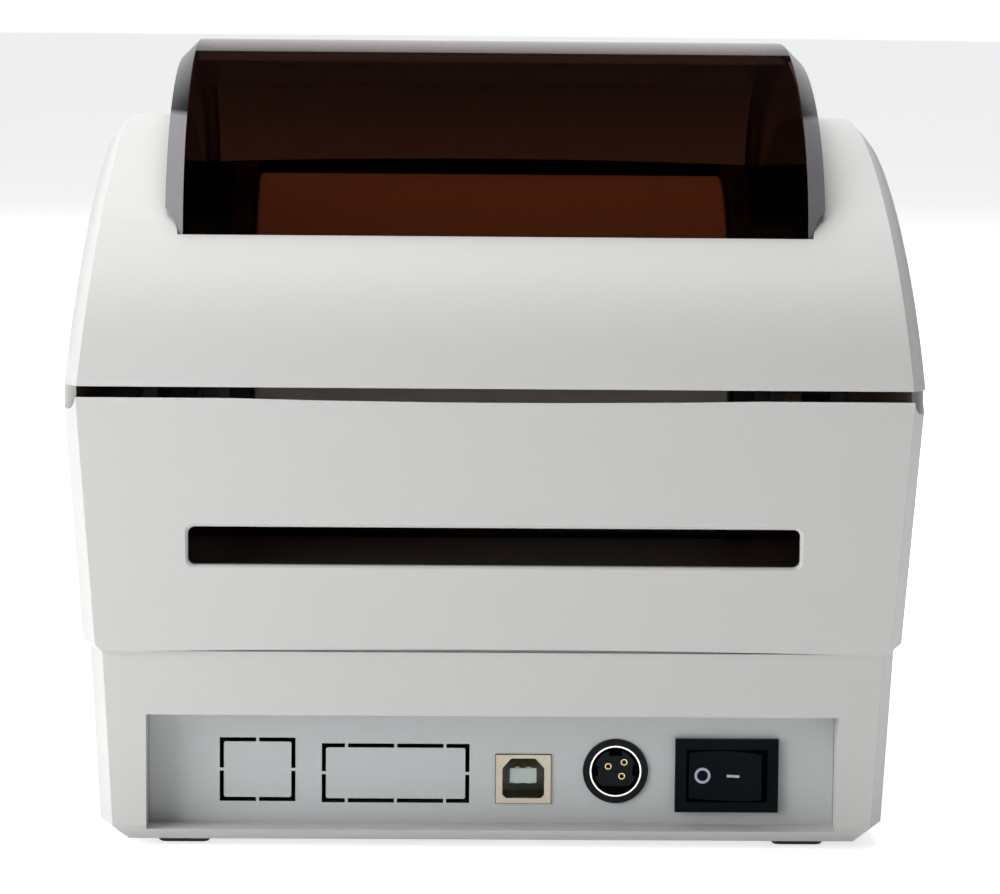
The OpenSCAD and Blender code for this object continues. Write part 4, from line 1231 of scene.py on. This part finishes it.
class PRINTER_OT_feet(bpy.types.Operator):
    """Finish the rubber feet and the screws"""

    bl_idname = "printer.feet"
    bl_label = "Feet and screws"

    def execute(self, context):
        feet = context.scene.printer_feet
        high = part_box("rubber_feet")[1]
        pads = []
        for x in (-1, 1):
            for y in (-1, 1):
                centre = Vector((x * (high.x - feet.top), y * (high.y - feet.top), 0))
                pads.append(self.pad(feet, centre))
                base, top = feet.height, high.z
                plug = [(base, 0), (base, feet.plug), (top, feet.plug), (top, 0)]
                pads.append(turned(plug, centre, (0, 0, 1), 48))
        rubber = soft_rubber("foot_rubber", (0.006, 0.008, 0.010))
        replaced = ("rubber_feet",)
        finished(joined(*pads), "rubber_feet_dressed", "chassis", rubber, replaced)
        screws = brushed("zinc_screws", (0.55, 0.56, 0.58), 0.35, 0)
        for node in ("housing_screws", "board_screws"):
            material_for(node, screws)
        return {"FINISHED"}

    def pad(self, feet, centre):
        """One foot: a square with rounded corners that widens towards the base."""
        shape = bmesh.new()
        top = feet.height
        place = Matrix.Translation(centre + Vector((0, 0, top / 2)))
        size = Matrix.Diagonal((2 * feet.top, 2 * feet.top, top, 1))
        bmesh.ops.create_cube(shape, size=1, matrix=place @ size)
        for vert in shape.verts:
            if vert.co.z < top / 2:
                for axis in (0, 1):
                    out = vert.co[axis] - centre[axis]
                    vert.co[axis] = centre[axis] + out * feet.low / feet.top

        def upright(middle, edge):
            return abs(edge.verts[0].co.z - edge.verts[1].co.z) > top / 2

        def lowest(middle, edge):
            return middle.z < 0.1 * MM

        soften(shape, feet.corner, 40, 5, upright)
        soften(shape, 0.25 * MM, 40, 2, lowest)
        return shape


class PRINTER_OT_mechanism(bpy.types.Operator):
    """Finish the print head, the platen, the gears, the frames and the motor"""

    bl_idname = "printer.mechanism"
    bl_label = "Mechanism"

    def execute(self, context):
        sheet = brushed("galvanised_sheet", (0.56, 0.57, 0.58), 0.42, 1)
        rod = brushed("ground_steel", (0.62, 0.63, 0.65), 0.25, 0)
        resin = moulded(
            "gear_resin",
            (0.76, 0.73, 0.62),
            roughness=0.4,
            grain=0.5 * MM,
            depth=0.006 * MM,
            spread=0.02,
        )
        black = moulded(
            "black_resin",
            (0.014, 0.015, 0.017),
            roughness=0.5,
            grain=0.4 * MM,
            depth=0.01 * MM,
            spread=0.08,
        )
        for material, nodes in (
            (sheet, "gear_frame plain_frame head_bracket latch_catches tear_bar"),
            (rod, "platen_shaft sensor_rail hinge_pins head_pivot_rod head_springs motor_pinion"),
            (resin, "idler_gear platen_gear platen_bushes guide_pinion"),
            (black, "lid_frame hinge_brackets gap_sensor"),
            (brushed("motor_can", (0.30, 0.31, 0.33), 0.4, 0), "motor_body"),
            (brushed("extruded_aluminium", (0.62, 0.63, 0.65), 0.38, 0), "heatsink"),
            (glazed(), "print_head"),
            (soft_rubber("platen_skin", (0.02, 0.022, 0.025)), "platen_rubber"),
        ):
            for node in nodes.split():
                material_for(node, material)
        return {"FINISHED"}


class PRINTER_OT_media(bpy.types.Operator):
    """Finish the roll bay and its guides, and lay a label roll between them"""

    bl_idname = "printer.media"
    bl_label = "Roll bay"

    def execute(self, context):
        black = moulded(
            "bay_plastic",
            (0.027, 0.026, 0.023),
            roughness=0.5,
            grain=0.5 * MM,
            depth=0.015 * MM,
            spread=0.08,
            gleam=0.3,
        )
        material_for("media_well", black)
        for node in ("guide_left", "guide_right"):
            dressed(node, 0.4 * MM, black)
        self.roll(context.scene.printer_media)
        return {"FINISHED"}

    def roll(self, media):
        """The wound stock, laid between the guides."""
        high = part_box("guide_left")[1]
        centre = (0, high.y - media.guide_radius, high.z - media.guide_radius)
        half = media.roll_width / 2
        edge = 0.5 * MM
        outline = [
            (-half, media.core_radius),
            (-half, media.roll_radius - edge),
            (edge - half, media.roll_radius),
            (half - edge, media.roll_radius),
            (half, media.roll_radius - edge),
            (half, media.core_radius),
            (-half, media.core_radius),
        ]
        shape = turned(outline, centre, (1, 0, 0), 128)
        for face in shape.faces:
            if abs(face.normal.x) > 0.9:
                face.material_index = 1
        roll = finished(shape, "label_roll", "chassis", [label_paper(), wound_edge()])
        travel = next(j for j in frame["joints"] if j["name"] == "left_guide_slide")["range_m"][1]
        1 - travel / half
        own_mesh(roll)


class PRINTER_OT_board(bpy.types.Operator):
    """Finish the electronics and their leads"""

    bl_idname = "printer.board"
    bl_label = "Electronics"

    def execute(self, context):
        mask = solder_mask()
        for node in ("main_board", "feed_board"):
            material_for(node, mask)
        for node, name, colour, roughness, grain, depth, spread in (
            ("board_chips", "chip_epoxy", (0.02, 0.02, 0.022), 0.45, 0.2, 0.004, 0.1),
            ("board_capacitors", "capacitor_sleeve", (0.03, 0.05, 0.12), 0.3, 0.5, 0.003, 0.03),
            ("board_headers", "header_nylon", (0.72, 0.70, 0.62), 0.4, 0.3, 0.005, 0.03),
        ):
            plastic = moulded(name, colour, roughness, grain * MM, depth * MM, spread)
            material_for(node, plastic)
        leads = insulation()
        for node in ("motor_lead", "power_lead"):
            material_for(node, leads)
        material_for("light_pipe", clear_plastic())
        return {"FINISHED"}


class PRINTER_OT_front(bpy.types.Operator):
    """Finish the label exit, the latches and the feed button"""

    bl_idname = "printer.front"
    bl_label = "Front"

    def execute(self, context):
        grain, depth = 0.4 * MM, 0.01 * MM
        black = moulded("bezel_plastic", (0.014, 0.015, 0.017), 0.45, grain, depth, 0.08)
        grey = moulded("latch_plastic", (0.26, 0.27, 0.29), 0.45, grain, depth, 0.02)
        dressed("front_bezel", 0.3 * MM, black)
        for node in ("latch_left", "latch_right", "feed_button"):
            dressed(node, 0.4 * MM, grey)
        return {"FINISHED"}


OPERATORS = (
    PRINTER_OT_stage,
    PRINTER_OT_shells,
    PRINTER_OT_window,
    PRINTER_OT_panel,
    PRINTER_OT_usb,
    PRINTER_OT_power_socket,
    PRINTER_OT_switch,
    PRINTER_OT_feet,
    PRINTER_OT_mechanism,
    PRINTER_OT_media,
    PRINTER_OT_board,
    PRINTER_OT_front,
)
SETTINGS = {
    "printer_shell": PrinterShell,
    "printer_window": PrinterWindow,
    "printer_media": PrinterMedia,
    "printer_sockets": PrinterSockets,
    "printer_feet": PrinterFeet,
    "printer_stage": PrinterStage,
}


class PRINTER_PT_sidebar(bpy.types.Panel):
    """Lists the printer's groups of pieces and their settings"""

    bl_label = "Label printer"
    bl_idname = "PRINTER_PT_sidebar"
    bl_space_type = "VIEW_3D"
    bl_region_type = "UI"
    bl_category = "Printer"

    def draw(self, context):
        for name, group in SETTINGS.items():
            box = self.layout.box()
            for setting in group.__annotations__:
                box.prop(getattr(context.scene, name), setting)
        for operator in OPERATORS:
            self.layout.operator(operator.bl_idname)


def register():
    for name, group in SETTINGS.items():
        bpy.utils.register_class(group)
        setattr(bpy.types.Scene, name, bpy.props.PointerProperty(type=group))
    for operator in OPERATORS:
        bpy.utils.register_class(operator)
    bpy.utils.register_class(PRINTER_PT_sidebar)


def unregister():
    bpy.utils.unregister_class(PRINTER_PT_sidebar)
    for operator in reversed(OPERATORS):
        bpy.utils.unregister_class(operator)
    for name, group in SETTINGS.items():
        delattr(bpy.types.Scene, name)
        bpy.utils.unregister_class(group)


def main():
    register()
    for operator in OPERATORS:
        group, name = operator.bl_idname.split(".")
        getattr(getattr(bpy.ops, group), name)()


if __name__ == "__main__":
    main()
